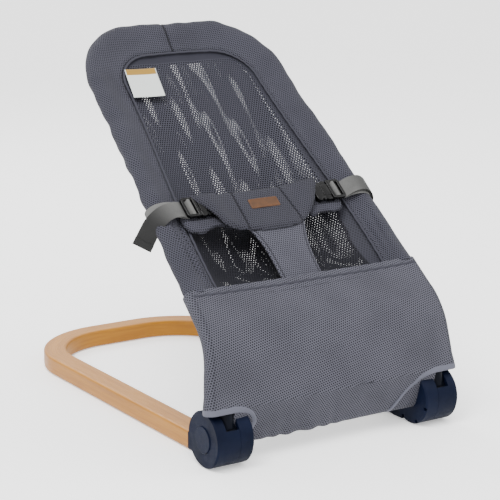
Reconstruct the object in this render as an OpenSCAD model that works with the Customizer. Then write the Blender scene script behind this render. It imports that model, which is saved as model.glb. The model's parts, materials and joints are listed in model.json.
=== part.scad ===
// Bouncer seat. A fabric sling on a bent steel hoop is carried by two push-button
// pivot hubs, which stand on the floor at the open ends of a bent-wood base.
// Origin: on the floor, under the middle of the outline. +X is to the right of
// someone who faces the seat, +Y points to its back and +Z points up.
// Left and right are as that person sees them.

/* [Overall] */
// Width over the outer faces of the two hubs
overall_w = 410; // [370:1:500]
// Length from the front of the hubs to the back of the wood
overall_l = 674; // [560:1:820]
// Angle of the backrest above the horizontal
back_angle = 39.4; // [36:0.2:43]
// Length of the backrest, from the corner of the knee to the top of the hoop
back_l = 578; // [520:1:690]

/* [Wood base] */
// Width of the bent wood, seen from above
wood_w = 36.3; // [30:0.1:44]
// Height of the bent wood
wood_h = 27; // [20:0.1:34]
// Outer radius of the two back corners
wood_corner_r = 143.3; // [110:0.1:172]
// Radius of the eased edges of the wood
wood_edge_r = 3; // [1:0.1:4]
// Diameter of a rubber foot pad
pad_d = 16; // [12:0.5:20]
// Height by which a foot pad stands out below the wood
pad_proud = 1; // [0.6:0.1:1.5]

/* [Hubs] */
// Diameter of a hub
hub_d = 79.5; // [76:0.1:96]
// Wall of a hub shell, between the outer surface and the bore
hub_wall = 6.2; // [5.5:0.1:6.4]
// Diameter of the push button
button_d = 37.6; // [34:0.1:39]
// Travel of the push button
button_travel = 4.3; // [3:0.1:4.4]
// Number of teeth on the lock gear
tooth_count = 24; // [18:1:30]
// Diameter of the pivot bolt
bolt_d = 10; // [8:0.5:11]

/* [Hoop] */
// Outer diameter of the hoop tube
tube_d = 16; // [13:0.1:16.6]
// Wall of the hoop tube
tube_wall = 1.5; // [1:0.1:2]
// Outer diameter of the crossbar between the hubs
crossbar_d = 20; // [14:0.1:22]
// Bend radius at the knee
knee_r = 85; // [60:1:100]
// Bend radius at the two head corners
head_r = 99.5; // [80:0.5:110]
// Angle by which each side of the backrest leans in towards the head
side_taper = 2.6; // [1.6:0.1:3.2]

/* [Cover] */
// Thickness of the padded spacer fabric
cloth_t = 3.5; // [2.5:0.1:4]
// Thickness of the mesh
mesh_t = 2; // [1.5:0.1:2.5]
// Depth by which the mesh seat hangs below the hoop
seat_sag = 36; // [28:1:44]
// Width of the crotch strap at the knee
crotch_w = 68; // [55:1:80]
// Width of the harness webbing
webbing_w = 28; // [22:0.5:29]
// Travel of a buckle plug when it is pulled out
plug_travel = 18; // [16:0.5:18.4]

/* [Hidden] */
$fn = 64;

// Clearances
fit = 0.1;        // parts of one body that plug together
running = 0.05;   // radial play of a bearing
gap = 0.4;        // parts that move past each other
cut = 1;          // how far a cutter runs past the face it cuts

// Places that everything else hangs on, with y counted from the pivot axis
half_w = overall_w / 2;
hub_r = hub_d / 2;
pivot_y = hub_r - overall_l / 2;
wood_back_y = overall_l - hub_r;

// Hub stations, counted inwards from the outer face of the button
face_s = 1.5;
face_t = 3;
web_t = 2.3;
head_t = 3.5;
plate_t = 2.2;
head_s = plate_t + button_travel + gap + 0.2;
web_s = head_s + head_t;
teeth_s = web_s + web_t;
gear_s = teeth_s + 3.8 + 0.5;
gear_t = 6.8;
knuckle_s = gear_s;
knuckle_w = 19.6;
ring_end_s = knuckle_s + knuckle_w - 0.6;
ring_floor_t = 4.7;
inner_s = knuckle_s + knuckle_w + 0.6;
hub_w = inner_s + 21.6;
floor_t = 3;
hub_bore_r = hub_r - hub_wall;
hub_edge = 2;

// Lock gear and the two toothed bores that it slides in
gear_tip_r = 22;
gear_root_r = 19.8;
tooth_play = 0.35;
well_r = button_d / 2 + 0.5;
collar_r = gear_tip_r + 3;
ring_r = 27;
leg_r = 2;
leg_place_r = 14;
leg_count = 3;

// Knuckle and the foot of the hoop
leg_lean = 9;
neck_r = knuckle_w / 2;
tube_r = tube_d / 2;
hoop_x = half_w - knuckle_s - neck_r;
knee_y = -2.45;
knee_z = hub_r + 130.25;
leg_dir = [0, sin(leg_lean), cos(leg_lean)];
knee = [hoop_x, knee_y, knee_z];
pivot = [0, 0, hub_r];
foot_u = ([0, knee_y, knee_z] - pivot) * leg_dir;
leg_offset = norm(cross([0, knee_y, knee_z] - pivot, leg_dir));
tube_foot_u = sqrt(pow(ring_r + 2.6, 2) - pow(leg_offset - tube_r, 2));
neck_start_u = 14;
neck_end_u = hub_r + 4.2;
pin_u = (tube_foot_u + neck_end_u) / 2 + 1;
pin_r = 1.5;
window_start = 49;
window_end = 152;

// Wood socket
wood_x = half_w - 21.6;
socket_y0 = hub_r + 2.3;
socket_l = 32;
socket_wall = 4;
socket_y1 = socket_y0 + socket_l;
tenon_l = socket_l - socket_wall + 0.5;
pad_t = 3;
screw_r = 2;

// Backrest frame: x across, y up the back from the knee corner, z out of its plane
taper_slope = tan(side_taper);
head_x = hoop_x - taper_slope * back_l;
head_corner = [head_x, back_l, 0];
sleeve_in_r = tube_r + gap;
sleeve_r = sleeve_in_r + cloth_t;
seam_v = 84;
seam_top_v = back_l - 47;
seam_x0 = hoop_x - 30;
seam_taper = 4.2;
seam_head_r = 62;

// Restraint
strap_v = 222;
flap_top_v = strap_v + 24;
flap_low_v = strap_v - 52;
flap_top_x = 113;
flap_low_x = 48;
flap_t = 3.5;
flap_n = 9;
flap_end_n = 19.4;
buckle_n = 7.6;
buckle_t = 10;
buckle_w = 34;
socket_x0 = 86;
socket_x1 = 112;
plug_x0 = socket_x1 + gap;
plug_x1 = 136;
prong_l = plug_travel - 2;
webbing_t = 1.5;
strap_n = buckle_n + buckle_t / 2;
strap_x = hoop_x - taper_slope * strap_v;
strap_r = sleeve_r + 0.4 + webbing_t;
pad_x0 = 64;
label_v = seam_top_v - 89;

function unit(v) = v / norm(v);
function hoop_at(v) = hoop_x - taper_slope * v;
function leg_at(u) = knee - leg_dir * (foot_u - u);
function flip_x(p) = [-p[0], p[1], p[2]];

// A point of the backrest frame in the frame whose y = 0 is the pivot axis
function from_back(p) = [p[0],
    knee_y + p[1] * cos(back_angle) - p[2] * sin(back_angle),
    knee_z + p[1] * sin(back_angle) + p[2] * cos(back_angle)];

module at_pivot() { translate([0, pivot_y, 0]) children(); }

// Draws a left-hand piece, and mirrors it when side is 1
module on_side(side) { at_pivot() mirror([side > 0 ? 1 : 0, 0, 0]) children(); }

// Hub axis of the left hub: z runs inwards from the button's face, -x points up
module on_hub() { translate([-half_w, 0, hub_r]) rotate([0, 90, 0]) children(); }

// Backrest frame, mirrored when side is 1
module on_back(side = -1) {
    at_pivot() translate([0, knee_y, knee_z]) rotate([back_angle, 0, 0])
        mirror([side > 0 ? 1 : 0, 0, 0]) children();
}

module drum(r, from, to, edge_from = 0, edge_to = 0) {
    translate([0, 0, from + edge_from]) cylinder(r = r, h = to - from - edge_from - edge_to);
    if (edge_from > 0) translate([0, 0, from]) cylinder(r1 = r - edge_from, r2 = r, h = edge_from);
    if (edge_to > 0) translate([0, 0, to - edge_to]) cylinder(r1 = r, r2 = r - edge_to, h = edge_to);
}

module rod(a, b, r) {
    d = b - a;
    translate(a) rotate([0, acos(d[2] / norm(d)), atan2(d[1], d[0])]) cylinder(r = r, h = norm(d));
}

function turn_cut(a, v, b, bend_r) = bend_r * tan(acos(unit(v - a) * unit(b - v)) / 2);

// Stations along a list of corners, each rounded to its own bend radius: every
// station is a place and the direction of travel there
function bend_stations(a, v, b, bend_r, steps) =
    let (d = unit(v - a), turn = acos(d * unit(b - v)), n = unit(cross(d, b - v)),
         e = unit(cross(d, n)), c = v - d * turn_cut(a, v, b, bend_r) - e * bend_r)
    [for (k = [0 : steps]) let (t = turn * k / steps)
        [c + bend_r * (e * cos(t) + d * sin(t)), d * cos(t) - e * sin(t)]];

function stations(path, radii, steps) = let (last = len(path) - 1) concat(
    [[path[0], unit(path[1] - path[0])]],
    [for (i = [1 : last - 1])
        each bend_stations(path[i - 1], path[i], path[i + 1], radii[i], steps[i])],
    [[path[last], unit(path[last] - path[last - 1])]]);

// Hollow tube carried along stations; flat is a direction that is never along it
module swept_tube(line, r_out, r_in, flat, sides = 16) {
    last = len(line) - 1;
    function ring(i, r) = let (u = unit(cross(flat, line[i][1])), w = cross(line[i][1], u))
        [for (k = [0 : sides - 1])
            line[i][0] + r * (u * cos(k * 360 / sides) + w * sin(k * 360 / sides))];
    inner = (last + 1) * sides;
    wall = [for (i = [0 : last - 1], k = [0 : sides - 1])
        let (a = i * sides + k, b = i * sides + (k + 1) % sides)
        each [[a, a + sides, b], [b, a + sides, b + sides],
              [inner + a, inner + b, inner + a + sides],
              [inner + b, inner + b + sides, inner + a + sides]]];
    ends = [for (k = [0 : sides - 1])
        let (a = k, b = (k + 1) % sides, far = last * sides)
        each [[a, b, inner + a], [b, inner + b, inner + a],
              [far + a, inner + far + a, far + b], [far + b, inner + far + a, inner + far + b]]];
    polyhedron(points = concat([for (i = [0 : last]) each ring(i, r_out)],
                               [for (i = [0 : last]) each ring(i, r_in)]),
               faces = concat(wall, ends), convexity = 10);
}

// Corners of a rectangle with rounded corners, as points
function rounded_box(w, h, r, steps = 3) = [for (k = [0 : 3], i = [0 : steps])
    let (a = k * 90 + i * 90 / steps,
         c = [k == 0 || k == 3 ? w - r : r, k < 2 ? h - r : r])
    c + r * [cos(a), sin(a)]];

function arc(c, r, a0, a1, steps) = [for (i = [0 : steps])
    let (a = a0 + (a1 - a0) * i / steps) c + r * [cos(a), sin(a)]];

function reversed(list) = [for (i = [len(list) - 1 : -1 : 0]) list[i]];

// Half of a backrest outline, from its low edge at x0 up one tapering side, round a
// corner of radius r and in to the middle line at the height top
function side_outline(x0, taper, low, top, r) =
    let (xc = x0 - tan(taper) * (top - r) - r / cos(taper), c = [xc, top - r])
    concat([[x0 - tan(taper) * low, low]], arc(c, r, taper, 90, 12));

function back_outline(x0, taper, low, top, r) =
    let (half = side_outline(x0, taper, low, top, r))
    concat(half, [for (p = reversed(half)) [-p[0], p[1]]]);

// Closed solid between two grids of points that have the same rows and columns
module between(top, bottom) {
    rows = len(top);
    cols = len(top[0]);
    half = rows * cols;
    flat = [for (g = [top, bottom], row = g, p = row) p];
    function at(i, j, under) = i * cols + j + (under ? half : 0);
    sheets = [for (i = [0 : rows - 2], j = [0 : cols - 2], under = [false, true])
        let (q = [at(i, j, under), at(i + 1, j, under), at(i + 1, j + 1, under), at(i, j + 1, under)])
        each [under ? [q[0], q[2], q[1]] : [q[0], q[1], q[2]],
              under ? [q[0], q[3], q[2]] : [q[0], q[2], q[3]]]];
    rim = concat([for (i = [0 : rows - 1]) at(i, 0, false)],
                 [for (j = [1 : cols - 1]) at(rows - 1, j, false)],
                 [for (i = [rows - 2 : -1 : 0]) at(i, cols - 1, false)],
                 [for (j = [cols - 2 : -1 : 1]) at(0, j, false)]);
    count = len(rim);
    walls = [for (k = [0 : count - 1])
        let (a = rim[k], b = rim[(k + 1) % count])
        each [[a, a + half, b], [b, a + half, b + half]]];
    polyhedron(points = flat, faces = concat(sheets, walls), convexity = 6);
}

// Smooth curve through hand-chosen points
function through(points, t) =
    let (n = len(points) - 1, i = min(floor(t), n - 1), f = t - i,
         a = points[max(i - 1, 0)], b = points[i],
         c = points[i + 1], d = points[min(i + 2, n)])
    0.5 * (2 * b + (c - a) * f + (2 * a - 5 * b + 4 * c - d) * f * f
           + (3 * b - a - 3 * c + d) * f * f * f);

// Webbing of width w and thickness t along a curve; ways holds the direction of
// its width at each of the curve's points
module webbing(points, ways, w, t, steps = 3) {
    count = (len(points) - 1) * steps;
    rows = [for (k = [0 : count])
        let (u = k / steps, p = through(points, u), way = unit(through(ways, u)),
             along = unit(through(points, min(u + 0.05, len(points) - 1))
                          - through(points, max(u - 0.05, 0))),
             out = unit(cross(along, way)))
        [p, way, out]];
    between([for (row = rows) [row[0] - row[1] * w / 2 + row[2] * t / 2,
                               row[0] + row[1] * w / 2 + row[2] * t / 2]],
            [for (row = rows) [row[0] - row[1] * w / 2 - row[2] * t / 2,
                               row[0] + row[1] * w / 2 - row[2] * t / 2]]);
}

// ---- Wood base ----

module wood_bar() { polygon(rounded_box(wood_w, wood_h, wood_edge_r)); }

function pad_places() = [
    for (side = [-1, 1]) each [
        [side * (wood_x - wood_w / 2), socket_y1 + 26],
        [side * (wood_x - wood_corner_r), wood_back_y - wood_w / 2]]];

function wood_screw_places() = [for (side = [-1, 1], dx = [-7, 7])
    [side * (wood_x - wood_w / 2) + dx, socket_y1 - 12]];

module wood_base() {
    color("burlywood") at_pivot() difference() {
        union() {
            for (side = [-1, 1]) mirror([side > 0 ? 1 : 0, 0, 0]) {
                translate([-wood_x, wood_back_y - wood_corner_r, pad_proud]) rotate([90, 0, 0])
                    linear_extrude(wood_back_y - wood_corner_r - socket_y1) wood_bar();
                translate([wood_corner_r - wood_x, wood_back_y - wood_corner_r, pad_proud])
                    rotate([0, 0, 90]) rotate_extrude(angle = 90)
                        translate([wood_corner_r - wood_w, 0]) wood_bar();
                translate([socket_wall + fit - wood_x, socket_y1 - tenon_l, pad_proud + socket_wall + fit])
                    cube([wood_w - 2 * (socket_wall + fit), tenon_l + 1,
                          wood_h - 2 * (socket_wall + fit)]);
            }
            translate([wood_corner_r - wood_x, wood_back_y - wood_w, pad_proud]) rotate([90, 0, 90])
                linear_extrude(2 * (wood_x - wood_corner_r)) wood_bar();
        }
        for (p = pad_places()) translate([p[0], p[1], 0])
            cylinder(d = pad_d + 2 * fit, h = pad_t + fit);
        for (p = wood_screw_places()) translate([p[0], p[1], 0])
            cylinder(r = screw_r + fit, h = wood_h * 0.6 + fit);
    }
}

module foot_pads() {
    color("dimgray") at_pivot() for (p = pad_places())
        translate([p[0], p[1], 0]) cylinder(d = pad_d, h = pad_t);
}

module wood_screws() {
    color("silver") at_pivot() for (p = wood_screw_places()) translate([p[0], p[1], pad_proud + 0.4]) {
        cylinder(r1 = screw_r * 1.8, r2 = screw_r, h = 2);
        translate([0, 0, 2]) cylinder(r = screw_r, h = wood_h * 0.6 - 3.4);
    }
}

module crossbar() {
    color("silver") at_pivot() translate([-half_w + hub_w - 8, 0, hub_r]) rotate([0, 90, 0])
        difference() {
            cylinder(d = crossbar_d, h = overall_w - 2 * hub_w + 16);
            translate([0, 0, -cut])
                cylinder(d = crossbar_d - 3, h = overall_w - 2 * hub_w + 16 + 2 * cut);
        }
}

// ---- Hub shells ----

function gear_points(root, tip, play) = [for (i = [0 : tooth_count - 1], k = [0 : 3])
    let (pitch = 360 / tooth_count, half = play * 90 / PI / tip,
         a = i * pitch + [-0.3 * pitch - half, -0.2 * pitch - half,
                          0.2 * pitch + half, 0.3 * pitch + half][k],
         r = k == 0 || k == 3 ? root : tip)
    r * [cos(a), sin(a)]];

module toothed_bore(from, to) {
    translate([0, 0, from]) linear_extrude(to - from)
        polygon(gear_points(gear_root_r + tooth_play, gear_tip_r + tooth_play, 2 * tooth_play));
}

module on_legs() {
    for (i = [0 : leg_count - 1]) rotate([0, 0, i * 360 / leg_count])
        translate([leg_place_r, 0, 0]) children();
}

// Places of the four screws that join the two shells, clear of the window
function shell_screw_angles() = [195, 245, 295, 345];

module on_shell_screws() {
    for (a = shell_screw_angles()) rotate([0, 0, a + 90])
        translate([hub_r - hub_wall / 2, 0, 0]) children();
}

// Wedge between two angles, counted from the back over the top
module wedge(r, a0, a1, from, to) {
    translate([0, 0, from]) linear_extrude(to - from)
        polygon(concat([[0, 0]], arc([0, 0], r, a0 + 90, a1 + 90, 6)));
}

module hub_ring(r_out, r_in, from, to) {
    translate([0, 0, from]) difference() {
        cylinder(r = r_out, h = to - from);
        translate([0, 0, -cut]) cylinder(r = r_in, h = to - from + 2 * cut);
    }
}

module outer_shell(side) {
    color([0.2, 0.23, 0.3]) on_side(side) on_hub() difference() {
        drum(hub_r, face_s, inner_s - 0.4, hub_edge);
        translate([0, 0, -cut]) cylinder(r = well_r, h = web_s + cut);
        hub_ring(hub_bore_r, collar_r, face_s + face_t, gear_s);
        translate([0, 0, gear_s - 0.3]) cylinder(r = hub_bore_r, h = inner_s);
        toothed_bore(teeth_s, gear_s);
        translate([0, 0, web_s - cut]) {
            cylinder(r = bolt_d / 2 + fit, h = web_t + 2 * cut);
            on_legs() cylinder(r = leg_r + gap, h = web_t + 2 * cut);
        }
        difference() {
            wedge(hub_r + 12, window_start, window_end, gear_s - 0.3, inner_s);
            translate([0, 0, gear_s - cut]) cylinder(r = hub_bore_r - 3, h = inner_s);
        }
        on_shell_screws() translate([0, 0, gear_s + 3]) cylinder(r = pin_r + fit, h = inner_s);
    }
}

module inner_shell(side) {
    boss_r = bolt_d / 2 + 8;
    in_x = hub_w - half_w;
    color([0.16, 0.19, 0.25]) on_side(side) difference() {
        union() {
            difference() {
                union() {
                    on_hub() drum(hub_r, inner_s, hub_w, 0, hub_edge);
                    translate([inner_s - half_w, hub_r / 2, pad_proud])
                        cube([hub_w - inner_s - hub_edge, socket_y0 - hub_r / 2 + 1, wood_h]);
                }
                on_hub() hub_ring(hub_bore_r, boss_r, inner_s - cut, hub_w - floor_t);
            }
            translate([-wood_x, socket_y1, pad_proud]) rotate([90, 0, 0])
                linear_extrude(socket_l) wood_bar();
            on_hub() for (a = [30, 150, 270]) rotate([0, 0, a])
                translate([boss_r - 1, -1, inner_s + 2])
                    cube([hub_bore_r - boss_r + 2, 2, hub_w - inner_s - 2 - floor_t / 2]);
        }
        on_hub() {
            translate([0, 0, inner_s - cut]) cylinder(r = bolt_d / 2 + fit, h = hub_w);
            translate([0, 0, inner_s + 6.8]) cylinder(d = crossbar_d - 1.2, h = 6, $fn = 6);
            translate([0, 0, inner_s + 12.6]) cylinder(d = crossbar_d + 2 * fit, h = hub_w);
            on_shell_screws() {
                translate([0, 0, inner_s - cut]) cylinder(r = pin_r + fit, h = 20);
                translate([0, 0, inner_s + 7]) cylinder(r = 2.9, h = hub_w);
            }
        }
        translate([socket_wall - wood_x, socket_y1 - tenon_l - 0.5, pad_proud + socket_wall])
            cube([wood_w - 2 * socket_wall, tenon_l + cut, wood_h - 2 * socket_wall]);
        for (dx = [-7, 7]) translate([wood_w / 2 - wood_x + dx, socket_y1 - 12, 0]) {
            cylinder(r = screw_r + fit, h = wood_h / 2);
            translate([0, 0, pad_proud - cut]) cylinder(r = screw_r * 1.8 + fit, h = cut + 2.6);
        }
    }
}

module shell_screws() {
    color("silver") for (side = [-1, 1]) on_side(side) on_hub() on_shell_screws() {
        translate([0, 0, gear_s + 3.5]) cylinder(r = pin_r, h = inner_s + 7 - gear_s - 3.5 + 0.1);
        translate([0, 0, inner_s + 7.1]) cylinder(r = 2.7, h = 2);
    }
}

module pivot_bolts() {
    color("silver") for (side = [-1, 1]) on_side(side) on_hub() {
        translate([0, 0, head_s]) cylinder(r = bolt_d * 0.9, h = head_t, $fn = 6);
        translate([0, 0, web_s - 0.1]) cylinder(d = bolt_d, h = inner_s + 12 - web_s);
    }
}

module pivot_nuts() {
    color("silver") for (side = [-1, 1]) on_side(side) on_hub()
        translate([0, 0, inner_s + 7]) difference() {
            cylinder(d = crossbar_d - 1.6, h = 5, $fn = 6);
            translate([0, 0, -cut]) cylinder(r = bolt_d / 2 + fit, h = 5 + 2 * cut);
        }
}

module pivot_washers() {
    color("silver") for (side = [-1, 1]) on_side(side) on_hub()
        hub_ring(bolt_d / 2 + 6.5, bolt_d / 2 + fit, ring_end_s + 0.3, inner_s - 0.1);
}

// ---- Lock ----

module lock_ring(side) {
    color("whitesmoke") on_side(side) on_hub() difference() {
        drum(ring_r, gear_s, ring_end_s);
        toothed_bore(gear_s - cut, ring_end_s - ring_floor_t);
        translate([0, 0, gear_s]) cylinder(r = bolt_d / 2 + running, h = knuckle_w);
    }
}

module lock_gear(side) {
    color("goldenrod") on_side(side) on_hub() translate([0, 0, gear_s]) difference() {
        linear_extrude(gear_t) polygon(gear_points(gear_root_r, gear_tip_r, 0));
        translate([0, 0, -cut]) cylinder(r = bolt_d / 2 + gap + 0.3, h = gear_t + 2 * cut);
    }
}

// Compression spring round the bolt, between the lock gear and the ring's floor
module return_spring(side) {
    wire = 0.7;
    r = bolt_d / 2 + 3.5;
    low = gear_s + gear_t + wire + 0.2;
    high = ring_end_s - ring_floor_t - wire - 0.2;
    turns = 2.5;
    steps = 40;
    sides = 6;
    color("lightsteelblue") on_side(side) on_hub() polyhedron(
        points = [for (i = [0 : steps], k = [0 : sides - 1])
            let (a = 360 * turns * i / steps, b = 360 * k / sides)
            [(r + wire * cos(b)) * cos(a), (r + wire * cos(b)) * sin(a),
             low + (high - low) * i / steps + wire * sin(b)]],
        faces = concat(
            [for (i = [0 : steps - 1], k = [0 : sides - 1])
                let (a = i * sides + k, b = i * sides + (k + 1) % sides)
                each [[a, a + sides, b], [b, a + sides, b + sides]]],
            [[for (k = [0 : sides - 1]) k]],
            [[for (k = [sides - 1 : -1 : 0]) steps * sides + k]]),
        convexity = 8);
}

module button(side) {
    color([0.24, 0.27, 0.36]) on_side(side) on_hub() {
        difference() {
            drum(button_d / 2, 0, plate_t + 3, 0.6);
            translate([0, 0, plate_t]) cylinder(r = button_d / 2 - 2, h = 10);
        }
        on_legs() translate([0, 0, plate_t - 0.5]) cylinder(r = leg_r, h = gear_s - gap - plate_t + 0.5);
    }
}

// ---- Hoop ----

module knuckle(side) {
    color([0.12, 0.13, 0.16]) on_side(side) difference() {
        union() {
            on_hub() drum(hub_bore_r - 0.5, knuckle_s, knuckle_s + knuckle_w);
            rod(flip_x(leg_at(neck_start_u)), flip_x(leg_at(neck_end_u)), neck_r);
        }
        on_hub() translate([0, 0, knuckle_s - cut])
            cylinder(r = ring_r + running, h = knuckle_w + 2 * cut);
        rod(flip_x(leg_at(tube_foot_u - 0.3)), flip_x(leg_at(neck_end_u + 5)), tube_r + fit);
        pin_hole();
    }
}

// Cross hole of the pin that holds the hoop in its knuckle
module pin_hole() {
    c = flip_x(leg_at(pin_u));
    rod(c - [neck_r + cut, 0, 0], c + [neck_r + cut, 0, 0], pin_r + fit);
}

module hoop_pins() {
    c = flip_x(leg_at(pin_u));
    color("silver") for (side = [-1, 1]) on_side(side)
        rod(c - [neck_r - 0.3, 0, 0], c + [neck_r - 0.3, 0, 0], pin_r);
}

module hoop_tube() {
    head = from_back(head_corner);
    path = [leg_at(tube_foot_u), knee, head, flip_x(head), flip_x(knee),
            flip_x(leg_at(tube_foot_u))];
    color("gray") at_pivot() difference() {
        swept_tube(stations(path, [0, knee_r, head_r, head_r, knee_r], [0, 8, 14, 14, 8]),
                   tube_r, tube_r - tube_wall, [0, -sin(back_angle), cos(back_angle)]);
        pin_hole();
        mirror([1, 0, 0]) pin_hole();
    }
}

// ---- Cover ----

module hoop_sleeve() {
    path = [[hoop_at(seam_v), seam_v, 0], head_corner, flip_x(head_corner),
            [-hoop_at(seam_v), seam_v, 0]];
    color("slategray") on_back()
        swept_tube(stations(path, [0, head_r, head_r], [0, 14, 14]), sleeve_r, sleeve_in_r, [0, 0, 1]);
}

module border_band() {
    inset = sleeve_r + gap;
    color("slategray") on_back() translate([0, 0, -cloth_t / 2]) linear_extrude(cloth_t) difference() {
        polygon(back_outline(hoop_x - inset, side_taper, seam_v, back_l - inset, head_r - inset));
        polygon(back_outline(seam_x0, seam_taper, seam_v - cut, seam_top_v, seam_head_r));
    }
}

// Depth of the hammock below the hoop's plane, at height v up the back, as a share
function hang(v) =
    let (f = (v - seam_v) / (seam_top_v - seam_v), d = pow(1 - f, 1.6) * min(1, f * 7))
    d * (2 - d);

// Half width of the see-through panel at height v
function panel_x(v) =
    let (v0 = seam_top_v - seam_head_r, xc = seam_x0 - tan(seam_taper) * v0 - seam_head_r)
    v < v0 ? seam_x0 - tan(seam_taper) * v
           : xc + sqrt(max(pow(seam_head_r, 2) - pow(v - v0, 2), 0));

function panel_rows(inset, drop) = [for (i = [0 : 22])
    let (v = seam_v + inset + (seam_top_v - seam_v - 2 * inset) * (1 - pow(1 - i / 22, 1.25)),
         half = panel_x(v) - inset)
    [for (j = [0 : 12]) let (f = j / 6 - 1)
        [half * f, v, -drop - seat_sag * hang(v) * (1 - pow(abs(f), 3))]]];

module mesh_sheet(inset, drop) {
    on_back() between(panel_rows(inset, drop), panel_rows(inset, drop + mesh_t));
}

module seat_mesh() { color([0.3, 0.3, 0.35]) mesh_sheet(2 * gap, -cloth_t / 4); }

module back_mesh() { color([0.25, 0.25, 0.3]) mesh_sheet(2 * gap, cloth_t + mesh_t); }

// Side view of the leg panel: wraps the crossbar, rises in front of the hoop's legs,
// turns over the knee and ends at the knee seam. off is its distance from the hoop.
leg_way = [sin(leg_lean), cos(leg_lean)];
leg_out = [-cos(leg_lean), sin(leg_lean)];
back_way = [cos(back_angle), sin(back_angle)];
back_out = [-sin(back_angle), cos(back_angle)];
knee_cut = knee_r * tan((90 - leg_lean - back_angle) / 2);
knee_at = [knee_y, knee_z];
panel_foot_u = neck_end_u + gap;
wrap_r = crossbar_d / 2 + gap;

function wrap_start(off, r) =
    let (e = knee_at - leg_way * (foot_u - panel_foot_u) + leg_out * off - [0, hub_r])
    atan2(e[1], e[0]) + acos(r / norm(e));

function side_curve(off, r) = concat(
    arc([0, hub_r], r, 345, wrap_start(off, r), 12),
    [knee_at - leg_way * (foot_u - panel_foot_u) + leg_out * off],
    arc(knee_at - leg_way * knee_cut - leg_out * knee_r, knee_r + off,
        180 - leg_lean, 90 + back_angle, 10),
    [knee_at + back_way * (seam_v - gap) + back_out * off]);

module side_strip(off, t, r) {
    rotate([90, 0, 90]) translate([0, 0, -half_w]) linear_extrude(overall_w)
        polygon(concat(side_curve(off, r), reversed(side_curve(off + t, r + t))));
}

// Front view of the leg panel, with the cut-outs that clear the hubs
slot_x = half_w - hub_w - 2;
slot_z = knee_z - (foot_u - panel_foot_u) * cos(leg_lean) + sleeve_in_r * sin(leg_lean);
skirt_x = half_w - 2;
knee_x = hoop_x + sleeve_r + 1;

function leg_half() = [[slot_x, 0], [slot_x, slot_z], [skirt_x, slot_z],
                       [knee_x, knee_z], [hoop_at(seam_v) + sleeve_r, knee_z + 90]];

module leg_front() {
    rotate([90, 0, 0]) translate([0, 0, -200]) linear_extrude(400)
        polygon(concat(leg_half(), [for (p = reversed(leg_half())) [-p[0], p[1]]]));
}

module leg_panel() {
    color("slategray") at_pivot() intersection() {
        side_strip(sleeve_in_r, cloth_t, wrap_r);
        leg_front();
    }
}

// Light binding along the lower edge of the panel over each hub
module hem_binding() {
    hem = 5;
    color("darkgray") at_pivot() intersection() {
        side_strip(sleeve_r + 0.2, 1.2, wrap_r + cloth_t + 0.2);
        for (side = [-1, 1]) mirror([side > 0 ? 1 : 0, 0, 0])
            rotate([90, 0, 0]) translate([0, 0, -200]) linear_extrude(400)
                polygon([[-skirt_x, slot_z], [-skirt_x + 0.6, slot_z + hem],
                         [hem - slot_x, slot_z + hem], [hem - slot_x, 0],
                         [-slot_x, 0], [-slot_x, slot_z]]);
    }
}

// ---- Restraint ----

// Height of the flap above the hoop's plane: low in the middle, lifted over the buckles
function flap_lift(x) =
    let (f = min(max((abs(x) - 58) / 22, 0), 1))
    flap_n + (flap_end_n - flap_n) * f * f * (3 - 2 * f);

function flap_half(v) =
    let (f = (v - flap_low_v) / (flap_top_v - flap_low_v))
    flap_low_x + (flap_top_x - flap_low_x) * pow(f, 0.75);

function flap_rows(drop) = [for (i = [0 : 10])
    let (v = flap_low_v + (flap_top_v - flap_low_v) * i / 10)
    [for (j = [0 : 20]) let (x = flap_half(v) * (j / 10 - 1)) [x, v, flap_lift(x) - drop]]];

module restraint_flap() {
    color("slategray") on_back() between(flap_rows(-flap_t), flap_rows(0));
}

function crotch_half(v) =
    let (f = max((v - seam_v) / (flap_low_v - seam_v), 0)) crotch_w / 2 + 14 * pow(min(f, 1), 3);

function crotch_rows(lift) = [for (i = [0 : 8])
    let (f = i / 8, v = seam_v + 2 + (flap_low_v + 18 - seam_v) * f, n = 0.6 + (flap_n - 4.6) * f)
    [for (j = [0 : 4]) [crotch_half(v) * (j / 2 - 1), v, n + lift]]];

module crotch_strap() {
    color("slategray") on_back() between(crotch_rows(cloth_t), crotch_rows(0));
}

// Soft pad under a buckle, from the flap out to the seam of the border
module wing_pad(side) {
    pad_x1 = panel_x(strap_v) + 0.3;
    color("slategray") on_back(side)
        translate([-pad_x1, strap_v - 42, 2.4]) linear_extrude(4.6)
            polygon(rounded_box(pad_x1 - pad_x0, 60, 12, 5));
}

// Label sewn in at the seam of the border
module care_label() {
    color("white") on_back()
        translate([-panel_x(label_v) - 1.4, label_v, cloth_t / 2 + 0.3]) linear_extrude(0.6)
            square([58, 60]);
}

module badge_patch() {
    color("peru") on_back() translate([-25, strap_v - 17, flap_n + flap_t + 0.1])
        linear_extrude(1.4) polygon(rounded_box(50, 17, 2));
}

// Box of a buckle piece between two distances from the middle
module buckle_block(x0, x1, w, n0, n1, r = 4) {
    translate([-x1, strap_v - w / 2, n0]) linear_extrude(n1 - n0)
        polygon(rounded_box(x1 - x0, w, r));
}

// Straight block whose inner end is x from the middle, centred on height v
module bar_block(x, v, l, w, n0, n1) {
    translate([-x, v - w / 2, n0]) cube([l, w, n1 - n0]);
}

prong_v = 11;
prong_w = 5.2;
guide_w = 6.4;

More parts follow.
